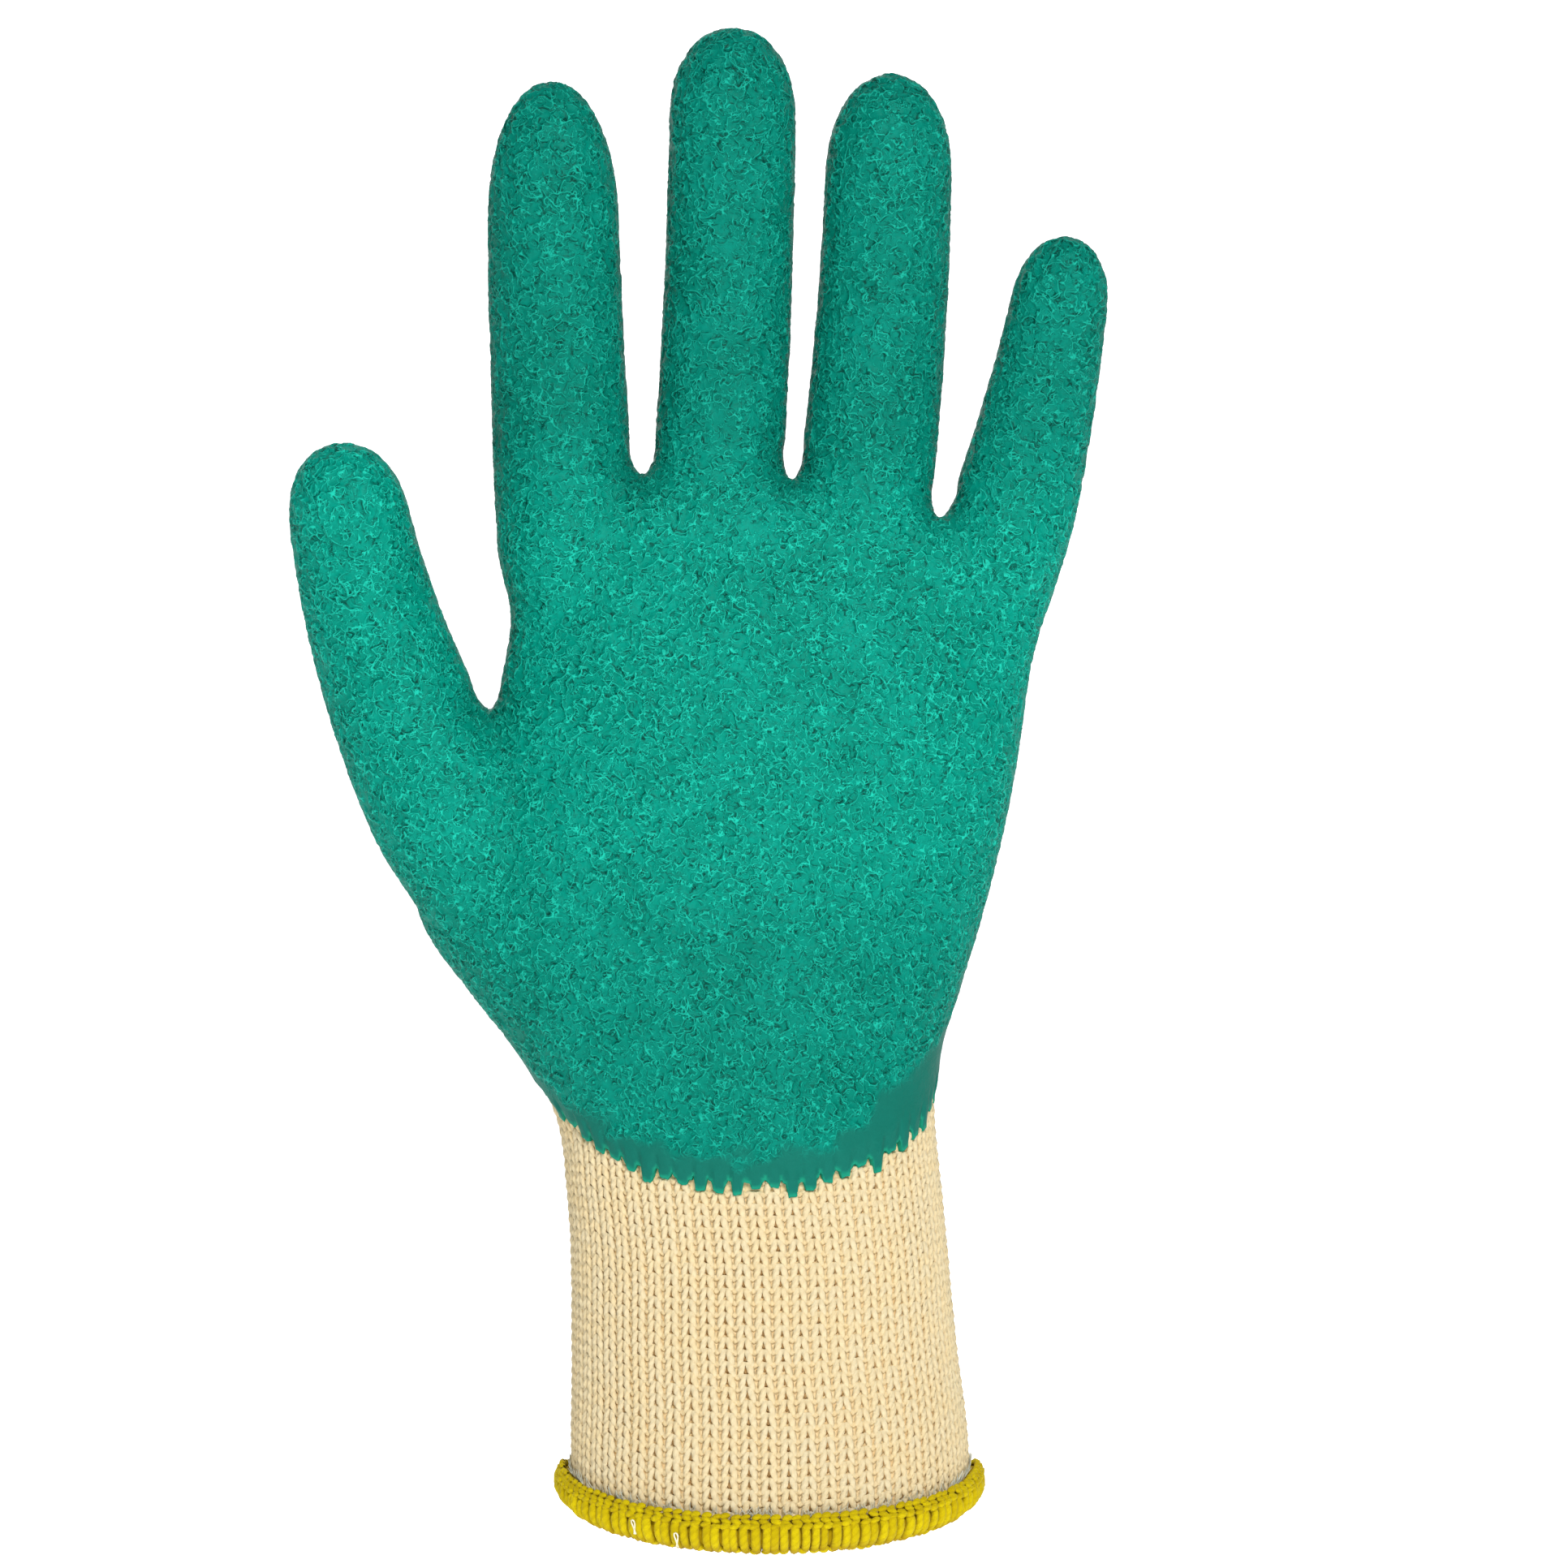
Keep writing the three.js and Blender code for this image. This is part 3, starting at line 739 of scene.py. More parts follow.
def sample_grid(grid, course, wale):
    """Values between the points of a grid of courses, which are rings, and wales."""
    courses, wales = grid.shape[:2]
    course = np.clip(course, 0, courses - 1.001)
    low = np.floor(course).astype(int)
    up = (course - low)[..., None]
    left = np.floor(wale).astype(int)
    right_share = (wale - left)[..., None]
    left, right = left % wales, (left + 1) % wales
    lower = grid[low, left] * (1 - right_share) + grid[low, right] * right_share
    upper = grid[low + 1, left] * (1 - right_share) + grid[low + 1, right] * right_share
    return lower * (1 - up) + upper * up


def ring_steps(rings):
    """The distance from each point of each ring to the next."""
    return np.linalg.norm(np.roll(rings, -1, axis=1) - rings, axis=2)


def yarn_tubes(centres, normals, radius, sides, closed, shown=None, flat=1.0):
    """Tubes through rows of points: their points, quads and corner uv."""
    rows, count = centres.shape[:2]
    ahead = np.roll(centres, -1, axis=1) - np.roll(centres, 1, axis=1)
    tangent = unit(ahead if closed else np.gradient(centres, axis=1))
    sideways = unit(np.cross(tangent, normals))
    outwards = np.cross(sideways, tangent)
    angle = 2 * math.pi * np.arange(sides) / sides
    thick = np.broadcast_to(radius, (rows, count))[..., None, None]
    cosine, sine = np.cos(angle)[:, None], np.sin(angle)[:, None]
    ring = sideways[:, :, None] * cosine + outwards[:, :, None] * flat * sine
    points = centres[:, :, None] + ring * thick
    segments = count if closed else count - 1
    row, segment, k = np.meshgrid(np.arange(rows), np.arange(segments), np.arange(sides), indexing="ij")
    if shown is not None:
        keep = np.repeat(shown[:, :segments, None], sides, axis=2)
        row, segment, k = row[keep], segment[keep], k[keep]
    row, segment, k = row.ravel(), segment.ravel(), k.ravel()
    following, turned = (segment + 1) % count, (k + 1) % sides
    here, there = (row * count + segment) * sides, (row * count + following) * sides
    quads = np.stack([here + k, here + turned, there + turned, there + k], axis=1)
    length = np.concatenate([np.zeros((rows, 1)), np.cumsum(ring_steps(centres), axis=1)], axis=1)
    low, high = length[row, segment], length[row, segment + 1]
    u_low, u_high = k / sides, (k + 1) / sides
    uv = np.stack([u_low, low, u_high, low, u_high, high, u_low, high], axis=1).reshape(-1, 4, 2)
    return points.reshape(-1, 3), quads, uv


def knitted(grid, normals, template, present, seed, radius):
    """Rings of knit stitches over a grid of surface points, one stitch wherever present says so."""
    courses, wales = present.shape
    random = np.random.default_rng(seed)
    across, down, out, recess_shade = np.array(template).T
    j, i, k = np.meshgrid(np.arange(courses), np.arange(wales), np.arange(len(across)), indexing="ij")
    jitter = random.normal(0, 1, (courses, wales, 2))
    course = j - down[k] + 1.0 + UNEVEN_LENGTH * jitter[..., 1][j, i] * down[k]
    wale = i + across[k] * (1 + UNEVEN_WIDTH * jitter[..., 0][j, i])
    centre = sample_grid(grid, course, wale)
    normal = unit(sample_grid(normals, course, wale))
    pitch = np.clip(ring_steps(grid)[:courses], 0.5, 9)
    thick = np.minimum(radius, YARN_SHARE * pitch)[j, i].reshape(courses, -1)
    lift = out[k] + UNEVEN_LIFT * random.normal(0, 1, (courses, wales))[j, i]
    centre = (centre + normal * lift[..., None]).reshape(courses, -1, 3)
    normal = normal.reshape(courses, -1, 3)
    shown = np.repeat(present, len(across), axis=1)
    points, quads, uv = yarn_tubes(centre, normal, thick, YARN_SIDES, True, shown, YARN_FLATNESS)
    # How much painted shade each point gets, for lying deep in the fabric
    depth = np.repeat(recess_shade[k].reshape(-1), YARN_SIDES)
    tone = np.repeat(random.normal(0, 1, (courses, wales))[j, i].reshape(-1), YARN_SIDES)
    used, faces = np.unique(quads, return_inverse=True)
    layers = {"recess_shade": depth[used], "tone": tone[used]}
    return points[used], faces.reshape(-1, 4), layers, uv


def bare_skin(tree, inside, base, owner, reach):
    """Where rays from inside the hand through base leave it, with normals, and which places need yarn."""
    places = base.reshape(-1, 3).copy()
    towards = unit((base - inside).reshape(-1, 3))
    normals = towards.copy()
    present = np.zeros(len(places), bool)
    for n, (origin, direction) in enumerate(zip(inside.reshape(-1, 3), towards)):
        hit, normal, _, _ = tree.ray_cast(Vector(origin), Vector(direction))
        if hit is not None and normal.dot(Vector(direction)) > 0.2:
            places[n], normals[n], present[n] = hit, normal, True
    owners, _, _ = finger_owner(places, reach, KNIT_STARTS)
    present &= (owners == owner) & (coat_field(places) < UNDER_COAT)
    return places.reshape(base.shape), normals.reshape(base.shape), present.reshape(base.shape[:2])


def wale_rings(heights, wales, shifts, grow=0.0):
    """Rings of points one wale apart round the sections at some heights."""
    rings = []
    for row, height, shift in zip(section_at(heights), heights, shifts):
        turns = even_turns(row, wales, shift)
        rings.append(outline(row[None], turns, grow, height - row[0])[0])
    return np.array(rings)


def cuff_knit(material):
    heights = CUFF_KNIT_START + CUFF_COURSE * np.arange(-1, CUFF_COURSES + 2)
    sway = 0.16 * noise(np.stack([heights / 16, 0 * heights, 0 * heights], axis=1), 61)
    grid = wale_rings(heights, CUFF_WALES, sway)
    normals = unit(wale_rings(heights, CUFF_WALES, sway, 1) - grid)
    inner = grid[1:-1]
    present = coat_field(inner.reshape(-1, 3)).reshape(inner.shape[:2]) < CUFF_UNDER_COAT
    present &= (inner[..., 2] < CUFF_LENGTH) | (inner[..., 1] < COAT_WRAP)
    made = knitted(grid, normals, RIB_STITCH, present, 62, CUFF_YARN_RADIUS)
    dress(new_piece("knit_cuff_yarn", *made), material, "knit_yarn", "knit_cuff")


def hand_knit(tree, material):
    heights = np.arange(CUFF_LENGTH - 1.5 * HAND_COURSE, SECTIONS[-1, 0] + 14, HAND_COURSE)
    base = wale_rings(heights, HAND_WALES, np.full(len(heights), 0.3))
    _, left, right, front, back, *_ = section_at(heights).T[..., None]
    reach = 0.8 * np.minimum(front, back)
    inside = base.copy()
    inside[..., 0] = np.clip(base[..., 0], -left + reach, right - reach)
    inside[..., 1] = 0
    grid, normals, present = bare_skin(tree, inside, base, PALM, 0.9)
    present &= (grid[..., 2] > RIB_SIDE_TOP) | (grid[..., 1] > COAT_WRAP)
    step = ring_steps(grid)
    present &= (step < LONGEST_STEP) & (np.roll(step, 1, axis=1) < LONGEST_STEP)
    made = knitted(grid, normals, PLAIN_STITCH, present[1:-1], 63, HAND_YARN_RADIUS)
    dress(new_piece("knit_hand_yarn", *made), material, "knit_yarn", "knit_palm")


def finger_knit(tree, number, finger):
    half_width, half_depth = finger_halves(finger, np.array([0.0]))
    wales = int(round(math.pi * (half_width[0] + half_depth[0]) / FINGER_WALE))
    first = KNIT_STARTS[finger["name"]]
    fine = np.linspace(first - 2 * HAND_COURSE, finger["length"] - 0.05, 400)
    _, fine_depth = finger_halves(finger, fine)
    length = np.concatenate([[0], np.cumsum(np.hypot(np.diff(fine), np.diff(fine_depth)))])
    along = np.interp(np.arange(0, length[-1], HAND_COURSE), length, fine)
    turns = 2 * math.pi * (np.arange(wales) + 0.5) / wales
    half_width, half_depth = finger_halves(finger, along)
    centre, _, side, rear = finger_frame(finger, along)
    across = side[:, None] * np.cos(turns)[None, :, None] * half_width[:, None, None]
    behind = rear[:, None] * np.sin(turns)[None, :, None] * half_depth[:, None, None]
    inside = np.repeat(centre[:, None], wales, axis=1)
    base = inside + across + behind
    grid, normals, present = bare_skin(tree, inside, base, number, 6.0)
    present &= np.linalg.norm(grid - base, axis=2) < FARTHEST_HIT
    return knitted(grid, normals, PLAIN_STITCH, present[1:-1], 70 + number, HAND_YARN_RADIUS)


def finger_knits(tree, material):
    for number, finger in enumerate(FINGERS):
        name = f"knit_{finger['name']}"
        made = finger_knit(tree, number, finger)
        dress(new_piece(f"{name}_yarn", *made), material, "knit_yarn", name)


def sunk(points, tree):
    """Points brought below the hand's fine form wherever the coarser wall would stand proud of it."""
    points = points.copy()
    for n, point in enumerate(points):
        place, normal, _, _ = tree.find_nearest(Vector(point))
        if (Vector(point) - place).dot(normal) > -0.8 * WALL_DEPTH:
            points[n] = place - VALLEY_DEPTH * normal
    return points


def liner_wall(tree, material):
    """The knit's inner wall, which closes the gaps between the loops and lines the hollow."""
    points, quads = fused_form(WALL_VOXEL, WALL_PASSES)
    triangles = triangles_of(quads)
    normals = vertex_normals(points, triangles)
    data, triangles = cut_to(np.concatenate([points, normals], axis=1), triangles, cuff_edge(points) - 0.6)
    points, normals = data[:, :3], unit(data[:, 3:])
    outer = sunk(points - WALL_DEPTH * normals, tree)
    inner = outer - (KNIT_WALL - WALL_DEPTH) * normals
    count = len(points)
    rim = rim_edges(triangles, count)
    faces = np.concatenate([triangles, triangles[:, ::-1] + count, wall_below(rim, rim + count)])
    piece = new_piece("liner_wall", np.concatenate([outer, inner]), faces)
    dress(piece, material, "knit_yarn")


# Overlocked hem

HEM_WRAPS = 118
HEM_THREAD = 0.73
HEM_MIDDLE = 2.2
HEM_END_RISE = 0.28  # how far the underside lifts where the cuff turns at its sides
HEM_TURNS = np.append(even_turns(SECTIONS[0], TURN_STEPS), 2 * math.pi)
FRINGE_ENDS = 420

# Distance outside the cuff's edge and height above it, round the core and along one wrap
HEM_CORE = [
    (0.3, 4.5), (0.9, 4.5), (1.3, 3.8), (1.8, 2.2), (1.6, 1.0), (0.9, 0.3), (-0.2, 0.0),
    (-1.4, 0.3), (-2.1, 1.0), (-2.25, 2.5), (-2.0, 3.8), (-1.6, 4.4), (-0.7, 4.2),
]
HEM_WRAP = np.array([
    (1.5, 4.0), (2.1, 3.5), (2.42, 2.8), (2.45, 1.9), (2.2, 1.1), (1.6, 0.4), (0.8, -0.1),
    (-0.2, -0.3), (-1.3, -0.1), (-2.1, 0.5), (-2.5, 1.3), (-2.55, 2.4), (-2.3, 3.4), (-1.9, 3.8),
])

# Rows of chain strands: out, up, slant, lean
HEM_CHAINS = [(2.15, 3.75, 0.25, 1), (1.85, 4.45, 0.25, -1), (1.45, 5.1, 0.22, 1), (0.4, -0.25, 0.15, 1)]


def hem_place(turns, out, up):
    """Points round the cuff's edge, by distance outside it and height above it."""
    row = SECTIONS[:1]
    near = outline(row, turns)[0]
    far = outline(row, turns, 1)[0]
    outwards = unit(far - near)
    up = np.broadcast_to(up, len(near))
    rounding = 1 - HEM_END_RISE * np.abs(np.cos(turns)) ** 10
    up = np.where(up < HEM_MIDDLE, HEM_MIDDLE + (up - HEM_MIDDLE) * rounding, up)
    raised = np.stack([0 * near[:, 0], 0 * near[:, 0], up], axis=1)
    return near + outwards * np.broadcast_to(out, len(near))[:, None] + raised, outwards


def hem_turns(steps):
    """Turns of places round the cuff's edge, which is divided into TURN_STEPS even steps."""
    return np.interp(steps % TURN_STEPS, np.arange(TURN_STEPS + 1), HEM_TURNS)


def strand_piece(name, material, slot, strands, thick, sides, layers=None):
    """A piece of open tubes along strands, each given by its points and their outward directions."""
    centres, outs = zip(*strands)
    points, quads, uv = yarn_tubes(np.array(centres), np.array(outs), np.array(thick), sides, False)
    dress(new_piece(name, points, quads, layers, uv), material, slot)


def hem_core(material):
    turns = even_turns(SECTIONS[0], 240)
    points = np.concatenate([hem_place(turns, out, up)[0] for out, up in HEM_CORE])
    count, rings = len(turns), len(HEM_CORE)
    faces = np.concatenate([ring_quads((r + 1) % rings * count, r * count, count) for r in range(rings)])
    # The core is painted darker all over, as shade between the wrapped threads
    layers = {"recess_shade": np.full(len(points), 0.8)}
    piece = new_piece("hem_core", points, np.roll(faces, 1, axis=1), layers)
    dress(piece, material, "hem_thread", "overlocked_hem")


def hem_wraps(material):
    """Threads laid side by side over the cuff's edge."""
    random = np.random.default_rng(81)
    out, up = HEM_WRAP.T
    strands, thick = [], []
    for start in (np.arange(HEM_WRAPS) + random.uniform(-0.2, 0.2, HEM_WRAPS)) / HEM_WRAPS:
        lean = random.normal(0, 0.0009)
        rise = random.normal(0, 0.18)
        size = HEM_THREAD * random.uniform(0.85, 1.2)
        turns = hem_turns((start + lean * np.linspace(-1, 1, len(out))) * TURN_STEPS)
        strands.append(hem_place(turns, out - 0.2, up + np.where(up > 2, rise, 0)))
        thick.append([0.15, *[size] * (len(out) - 2), 0.15])
    tone = np.repeat(random.normal(0, 1, HEM_WRAPS), len(out) * 8)
    # Painted shade on the wraps' underside
    under = np.repeat(np.tile(smoothstep(1.2, -0.3, up), HEM_WRAPS), 8)
    strand_piece("hem_wraps", material, "hem_thread", strands, thick, 8, {"tone": tone, "recess_shade": under})


def hem_chains(material):
    """The interlaced loops above the wraps, as rows of short slanting strands."""
    random = np.random.default_rng(83)
    steps = np.linspace(-1, 1, 6)
    swell = np.array([0.22, 0.48, 0.56, 0.56, 0.48, 0.22])
    arch = 0.2 * (1 - steps**2)
    strands, thick = [], []
    for out, up, slant, lean in HEM_CHAINS:
        for start in (np.arange(HEM_WRAPS) + random.uniform(-0.15, 0.15, HEM_WRAPS)) / HEM_WRAPS:
            turns = hem_turns((start + lean * steps * 0.5 / HEM_WRAPS) * TURN_STEPS)
            height = up + slant * steps + random.normal(0, 0.1)
            strands.append(hem_place(turns, out + arch, height))
            thick.append(swell * random.uniform(0.85, 1.15))
    tone = np.repeat(random.normal(0, 1, len(strands)), len(steps) * 6)
    strand_piece("hem_chains", material, "hem_thread", strands, thick, 6, {"tone": tone})


def hem_fringe(material):
    """Cut yarn ends that stand out just above the hem."""
    random = np.random.default_rng(91)
    t = np.linspace(0, 1, 5)
    strands = []
    for place in random.uniform(0, TURN_STEPS, FRINGE_ENDS):
        length = random.uniform(0.8, 2.2)
        turns = hem_turns(place + t * random.normal(0, 3))
        strands.append(hem_place(turns, 0.3 + t * random.uniform(0.1, 0.8), 4.8 + t * length))
    thick = np.linspace(0.13, 0.03, len(t))[None]
    strand_piece("cut_yarn_ends", material, "knit_yarn", strands, thick, 4)


def clear_thread_ends(material):
    """Two short ends of clear sewing thread that stand out of the hem."""
    ring = outline(SECTIONS[:1], HEM_TURNS)[0]
    t = np.linspace(0, 1, 9)
    bow = np.sin(math.pi * t)
    strands = []
    for across, up in ((-20.4, 0.6), (-13.9, -0.4)):
        nearest = np.argmin(np.abs(ring[:, 0] - across) + 100 * (ring[:, 1] > 0))
        turns = HEM_TURNS[nearest] + 0.012 * np.sin(2 * math.pi * t) + 0.01 * t
        strands.append(hem_place(turns, 2.6 + 0.7 * bow, up + 2.4 * bow**0.7))
    strand_piece("clear_thread_ends", material, "hem_thread", strands, 0.14, 6)


# Materials

PLIES = 3.0
TWISTS_PER_MM = 0.9

# A fold's strength, the fade of its line, and the shift and width of the band of painted shadow beside the
# line
MESH_FOLD = (1.0, (0.04, 0.14), 0.36, 0.24)
GRAIN_FOLD = (0.9, (0.01, 0.03), 0.07, 0.04)


def linear(red, green, blue):
    """A screen colour from 0 to 255 as the shader's linear colour."""
    share = np.array([red, green, blue]) / 255
    value = np.where(share <= 0.04045, share / 12.92, ((share + 0.055) / 1.055) ** 2.4)
    return (*value, 1.0)


class Shader:
    """A material's node tree, painted and roughened one layer over another."""

    def __init__(self, name, colour, roughness, specular, sheen=0.0):
        self.material = bpy.data.materials.new(name)
        self.material.use_nodes = True
        self.tree = self.material.node_tree
        self.surface = self.tree.nodes["Principled BSDF"]
        self.surface.inputs["Roughness"].default_value = roughness
        self.surface.inputs["Specular IOR Level"].default_value = specular
        self.surface.inputs["Sheen Weight"].default_value = sheen
        self.place = self.add("ShaderNodeTexCoord").outputs["Object"]
        self.colour = linear(*colour)
        self.normal = None

    def add(self, kind, values=None, **settings):
        node = self.tree.nodes.new(kind)
        for key, value in settings.items():
            setattr(node, key, value)
        for key, value in (values or {}).items():
            if isinstance(value, bpy.types.NodeSocket):
                self.tree.links.new(value, node.inputs[key])
            else:
                node.inputs[key].default_value = value
        return node

    def layer(self, name, output="Fac"):
        """A mesh's own values under a name."""
        return self.add("ShaderNodeAttribute", attribute_name=name).outputs[output]

    def parts(self, vector):
        return self.add("ShaderNodeSeparateXYZ", {0: vector}).outputs

    def maths(self, operation, first, second=0.0):
        return self.add("ShaderNodeMath", {0: first, 1: second}, operation=operation).outputs[0]

    def times(self, first, second):
        return self.maths("MULTIPLY", first, second)

    def ramp(self, value, low, high, to_low=0.0, to_high=1.0):
        inputs = {"Value": value, "From Min": low, "From Max": high, "To Min": to_low, "To Max": to_high}
        return self.add("ShaderNodeMapRange", inputs, interpolation_type="SMOOTHSTEP").outputs["Result"]

    def grain(self, size_mm, detail=2.0, distortion=0.0):
        inputs = {"Vector": self.place, "Scale": 1 / (size_mm * MM), "Detail": detail}
        return self.add("ShaderNodeTexNoise", {**inputs, "Distortion": distortion}).outputs["Fac"]

    def paint(self, share, colour):
        """Lays a screen colour over the colours before, as thickly as share says."""
        inputs = {0: share, 6: self.colour, 7: linear(*colour)}
        self.colour = self.add("ShaderNodeMix", inputs, data_type="RGBA").outputs[2]

    def bump(self, height, strength, distance_mm):
        """Raises the surface by height, on top of the bumps before."""
        inputs = {"Height": height, "Strength": strength, "Distance": distance_mm * MM}
        if self.normal is not None:
            inputs["Normal"] = self.normal
        self.normal = self.add("ShaderNodeBump", inputs).outputs["Normal"]

    def finish(self):
        self.tree.links.new(self.colour, self.surface.inputs["Base Color"])
        self.tree.links.new(self.normal, self.surface.inputs["Normal"])
        return self.material


def folded(shader, folds, value, fade, strength, line, shift, width):
    """Ridges, and the bands of painted shadow beside them, with those added that follow the line where
    value is zero.
    """
    crest = shader.ramp(shader.maths("ABSOLUTE", value), *line, strength, 0)
    # The band beside the line is the one painted darker, as shadow
    beside = shader.maths("ABSOLUTE", shader.maths("ADD", value, shift))
    hollow = shader.ramp(beside, 0, width, strength, 0)
    added = [shader.times(fold, fade) for fold in (crest, hollow)]
    return [shader.maths("MAXIMUM", old, new) for old, new in zip(folds, added)]


def latex_material():
    shader = Shader("latex_green", (0, 132, 113), roughness=0.5, specular=0.05)
    band = shader.layer("band")
    distances, fades = (shader.parts(shader.layer(name, "Vector")) for name in ("creases", "fades"))
    folds = [0.0, 0.0]
    for distance, fade in zip(distances, fades):
        folds = folded(shader, folds, distance, fade, *MESH_FOLD)
    for size, twist in ((1.25, 0.7), (1.6, 1.0)):
        value = shader.maths("SUBTRACT", shader.grain(size, 1, twist), 0.5)
        fade = shader.times(shader.ramp(shader.grain(0.9 * size, 0), 0.44, 0.56), band)
        folds = folded(shader, folds, value, fade, *GRAIN_FOLD)
    ridge, hollow = folds
    pit_shadow = shader.times(hollow, shader.ramp(shader.grain(1.1, 1), 0.4, 0.6, 0.35, 1))
    fine = shader.grain(0.9, 3, 0.6)
    shader.paint(shader.ramp(shader.grain(9, 2), 0.3, 0.7), (3, 145, 126))
    shader.paint(shader.ramp(fine, 0.35, 0.65, 0, 0.32), (0, 112, 95))
    shader.paint(shader.ramp(band, 0, 1, 0.85, 0), (22, 110, 96))
    # Painted shade: surfaces that turn away from the front are darker
    shader.paint(shader.ramp(shader.layer("front"), 0, 1, 0.6, 0), (3, 108, 93))
    # Painted shadow in the hollows beside the ridges
    shader.paint(shader.times(pit_shadow, 0.9), (0, 42, 35))
    # Painted highlight along the ridges
    shader.paint(shader.times(ridge, 0.75), (32, 200, 174))
    shader.paint(shader.times(shader.layer("edge"), 0.55), (34, 176, 138))
    # Painted shade on the fingers, toward the wrist and between the fingers
    shader.paint(shader.times(shader.layer("shade"), 0.28), (0, 30, 22))
    shader.bump(shader.grain(0.28, 2), 0.25, 0.12)
    shader.bump(fine, 0.5, 0.25)
    shader.bump(ridge, 0.9, 0.22)
    return shader.finish()


def yarn_material(name, light, deep, tone_dark, hole_shadow):
    shader = Shader(name, light, roughness=0.9, specular=0.1, sheen=0.04)
    around, along, _ = shader.parts(shader.add("ShaderNodeUVMap", uv_map="yarn").outputs[0])
    twist = shader.maths("ADD", shader.times(around, PLIES), shader.times(along, TWISTS_PER_MM))
    ply = shader.maths("SINE", shader.times(twist, 2 * math.pi))
    fibre = shader.grain(0.16, 3)
    recess_shade = shader.layer("recess_shade")
    shader.paint(shader.ramp(shader.layer("tone"), -2, 2), tone_dark)
    # Painted shade where the yarn lies deep in the fabric, and painted shadow in the deepest holes
    shader.paint(shader.ramp(recess_shade, 0.1, 1.0, 0, 0.75), deep)
    shader.paint(shader.ramp(recess_shade, 1.0, 1.6, 0, 0.9), hole_shadow)
    shader.paint(shader.ramp(fibre, 0.4, 0.7, 0, 0.25), deep)
    # Painted shade in the grooves between the plies
    shader.paint(shader.ramp(ply, -1, -0.2, 0.2, 0), deep)
    shader.bump(fibre, 0.5, 0.12)
    shader.bump(ply, 0.5, 0.08)
    return shader.finish()


def wall_material():
    shader = Shader("knit_shadow", (236, 216, 172), roughness=0.95, specular=0.1, sheen=0.1)
    fibre = shader.grain(0.3, 3)
    loops = shader.grain(1.4, 2, 0.4)
    shader.paint(shader.ramp(fibre, 0.35, 0.7), (228, 202, 152))
    shader.paint(shader.ramp(loops, 0.45, 0.65, 0, 0.4), (214, 174, 116))
    shader.bump(fibre, 0.6, 0.2)
    shader.bump(loops, 0.8, 0.5)
    return shader.finish()


def two_tone(shader, size_mm, colour, bump):
    """Finishes a material whose colour drifts to a second one."""
    drift = shader.grain(size_mm)
    shader.paint(shader.ramp(drift, 0.35, 0.65), colour)
    shader.bump(drift, *bump)
    return shader.finish()


def fringe_material():
    shader = Shader("cut_yarn_grey", (222, 221, 202), roughness=0.9, specular=0.2, sheen=0.2)
    return two_tone(shader, 0.8, (186, 192, 178), (0.3, 0.1))


def clear_thread_material():
    shader = Shader("clear_thread", (240, 236, 214), roughness=0.25, specular=0.6)
    return two_tone(shader, 0.5, (222, 214, 176), (0.2, 0.05))


def paper_material():
    shader = Shader("studio_white", (252, 252, 252), roughness=0.9, specular=0.1)
    shader.surface.inputs["Emission Color"].default_value = (1, 1, 1, 1)
    shader.surface.inputs["Emission Strength"].default_value = PAPER_GLOW
    paper = shader.grain(400, 1)
    shader.paint(shader.ramp(paper, 0.3, 0.7), (249, 249, 249))
    shader.bump(paper, 0.02, 0.1)
    return shader.finish()


# Stage, light and camera

FLOOR_HEIGHT = -70.0
BACKDROP_Y = 1500.0
BACKDROP_BEND = 500.0
BACKDROP_FRONT = -3000.0
BACKDROP_TOP = 4000.0
BACKDROP_HALF = 4000.0
PAPER_GLOW = 0.7
WORLD_STRENGTH = 0.08
GLOVE_MIDDLE = (0, 0, 125)
CAMERA_PLACE = (2.6, -1100.0, 119.4)
CAMERA_LENS = 150.9


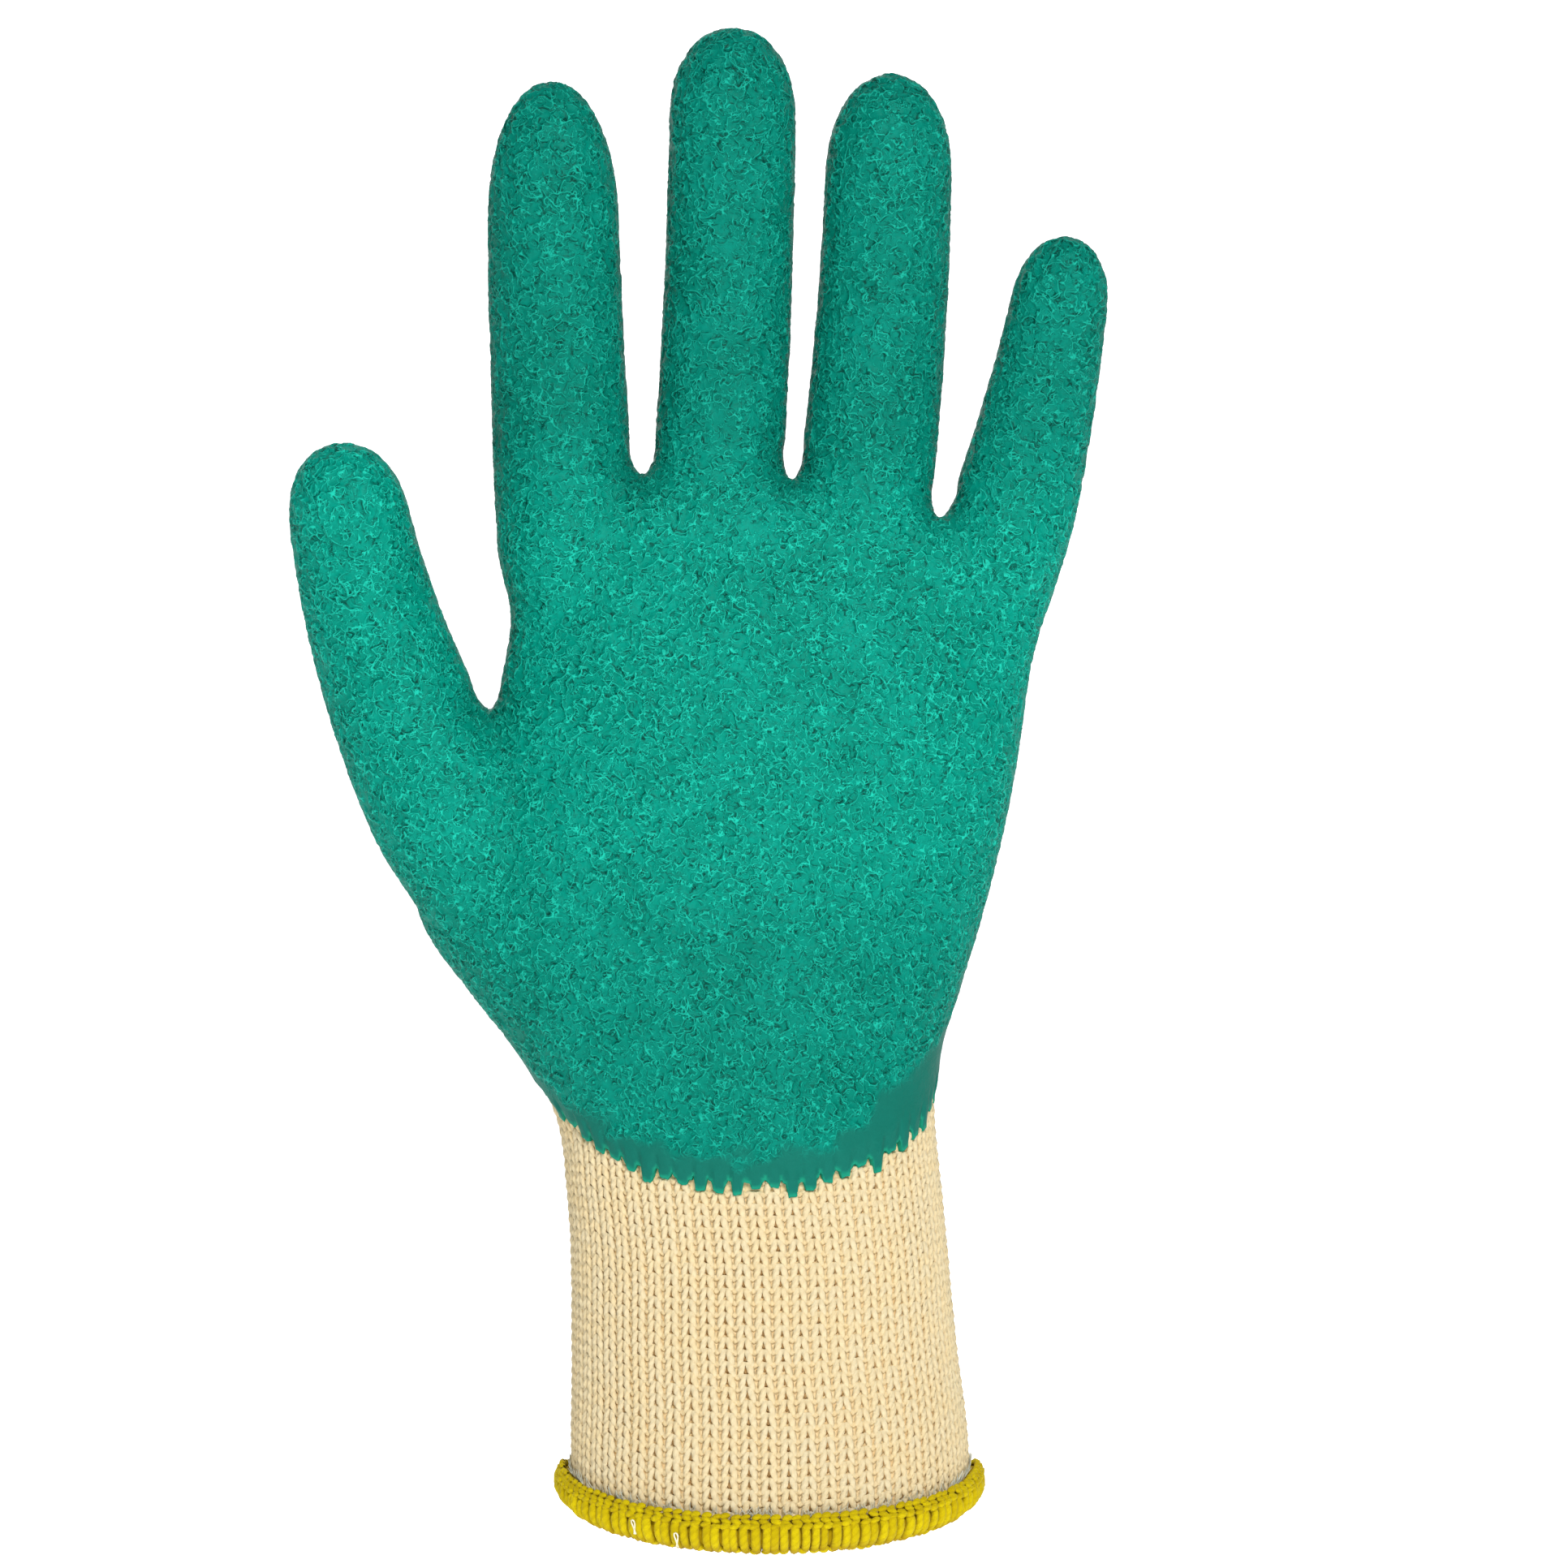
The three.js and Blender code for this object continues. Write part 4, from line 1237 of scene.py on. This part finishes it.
def add_stage():
    """A plain floor that curves up into a plain backdrop."""
    profile = [(BACKDROP_FRONT, FLOOR_HEIGHT)]
    for step in range(13):
        angle = math.pi / 2 * step / 12
        back = BACKDROP_Y + BACKDROP_BEND * math.sin(angle)
        profile.append((back, FLOOR_HEIGHT + BACKDROP_BEND * (1 - math.cos(angle))))
    profile.append((BACKDROP_Y + BACKDROP_BEND, BACKDROP_TOP))
    points = np.array([(x, y, z) for y, z in profile for x in (-BACKDROP_HALF, BACKDROP_HALF)])
    faces = np.array([(2 * k, 2 * k + 1, 2 * k + 3, 2 * k + 2) for k in range(len(profile) - 1)])
    floor = new_piece("studio_floor", points, faces)
    floor.data.materials.append(paper_material())


def add_light(name, place, size, power):
    """A square soft light that faces the glove's middle."""
    data = bpy.data.lights.new(name, "AREA")
    data.shape = "SQUARE"
    data.size = size * MM
    data.energy = power
    light = bpy.data.objects.new(name, data)
    light.location = Vector(place) * MM
    light.rotation_euler = (Vector(GLOVE_MIDDLE) - Vector(place)).to_track_quat("-Z", "Y").to_euler()
    bpy.context.scene.collection.objects.link(light)


def add_lights():
    add_light("key_softbox", (200, -1000, 760), 420, 13)
    add_light("fill_softbox", (-500, -1000, 200), 700, 0.5)
    add_light("back_softbox", (-300, 900, 600), 700, 2.5)
    world = bpy.data.worlds.new("studio")
    world.use_nodes = True
    background = world.node_tree.nodes["Background"]
    background.inputs["Color"].default_value = (1, 1, 1, 1)
    background.inputs["Strength"].default_value = WORLD_STRENGTH
    bpy.context.scene.world = world


def add_camera():
    data = bpy.data.cameras.new("camera")
    data.lens = CAMERA_LENS
    data.sensor_width = 36.0
    data.clip_start, data.clip_end = 0.01, 20.0
    camera = bpy.data.objects.new("camera", data)
    camera.location = Vector(CAMERA_PLACE) * MM
    camera.rotation_euler = (math.pi / 2, 0, 0)
    bpy.context.scene.collection.objects.link(camera)
    bpy.context.scene.camera = camera
    bpy.context.scene.view_settings.view_transform = "Standard"


def add_glove():
    cream = yarn_material("knit_cream", (220, 206, 170), (214, 185, 132), (222, 204, 162), (140, 102, 56))
    yellow = yarn_material("thread_yellow", (208, 188, 6), (150, 118, 0), (190, 168, 2), (120, 96, 0))
    form, quads = fused_form(FINE_VOXEL, FORM_PASSES)
    tree = BVHTree.FromPolygons(form.tolist(), quads.tolist())
    coating_pieces(form, quads, latex_material())
    cuff_knit(cream)
    hand_knit(tree, cream)
    finger_knits(tree, cream)
    liner_wall(tree, wall_material())
    hem_core(yellow)
    hem_wraps(yellow)
    hem_chains(yellow)
    hem_fringe(fringe_material())
    clear_thread_ends(clear_thread_material())


add_camera()
add_stage()
add_lights()
add_glove()
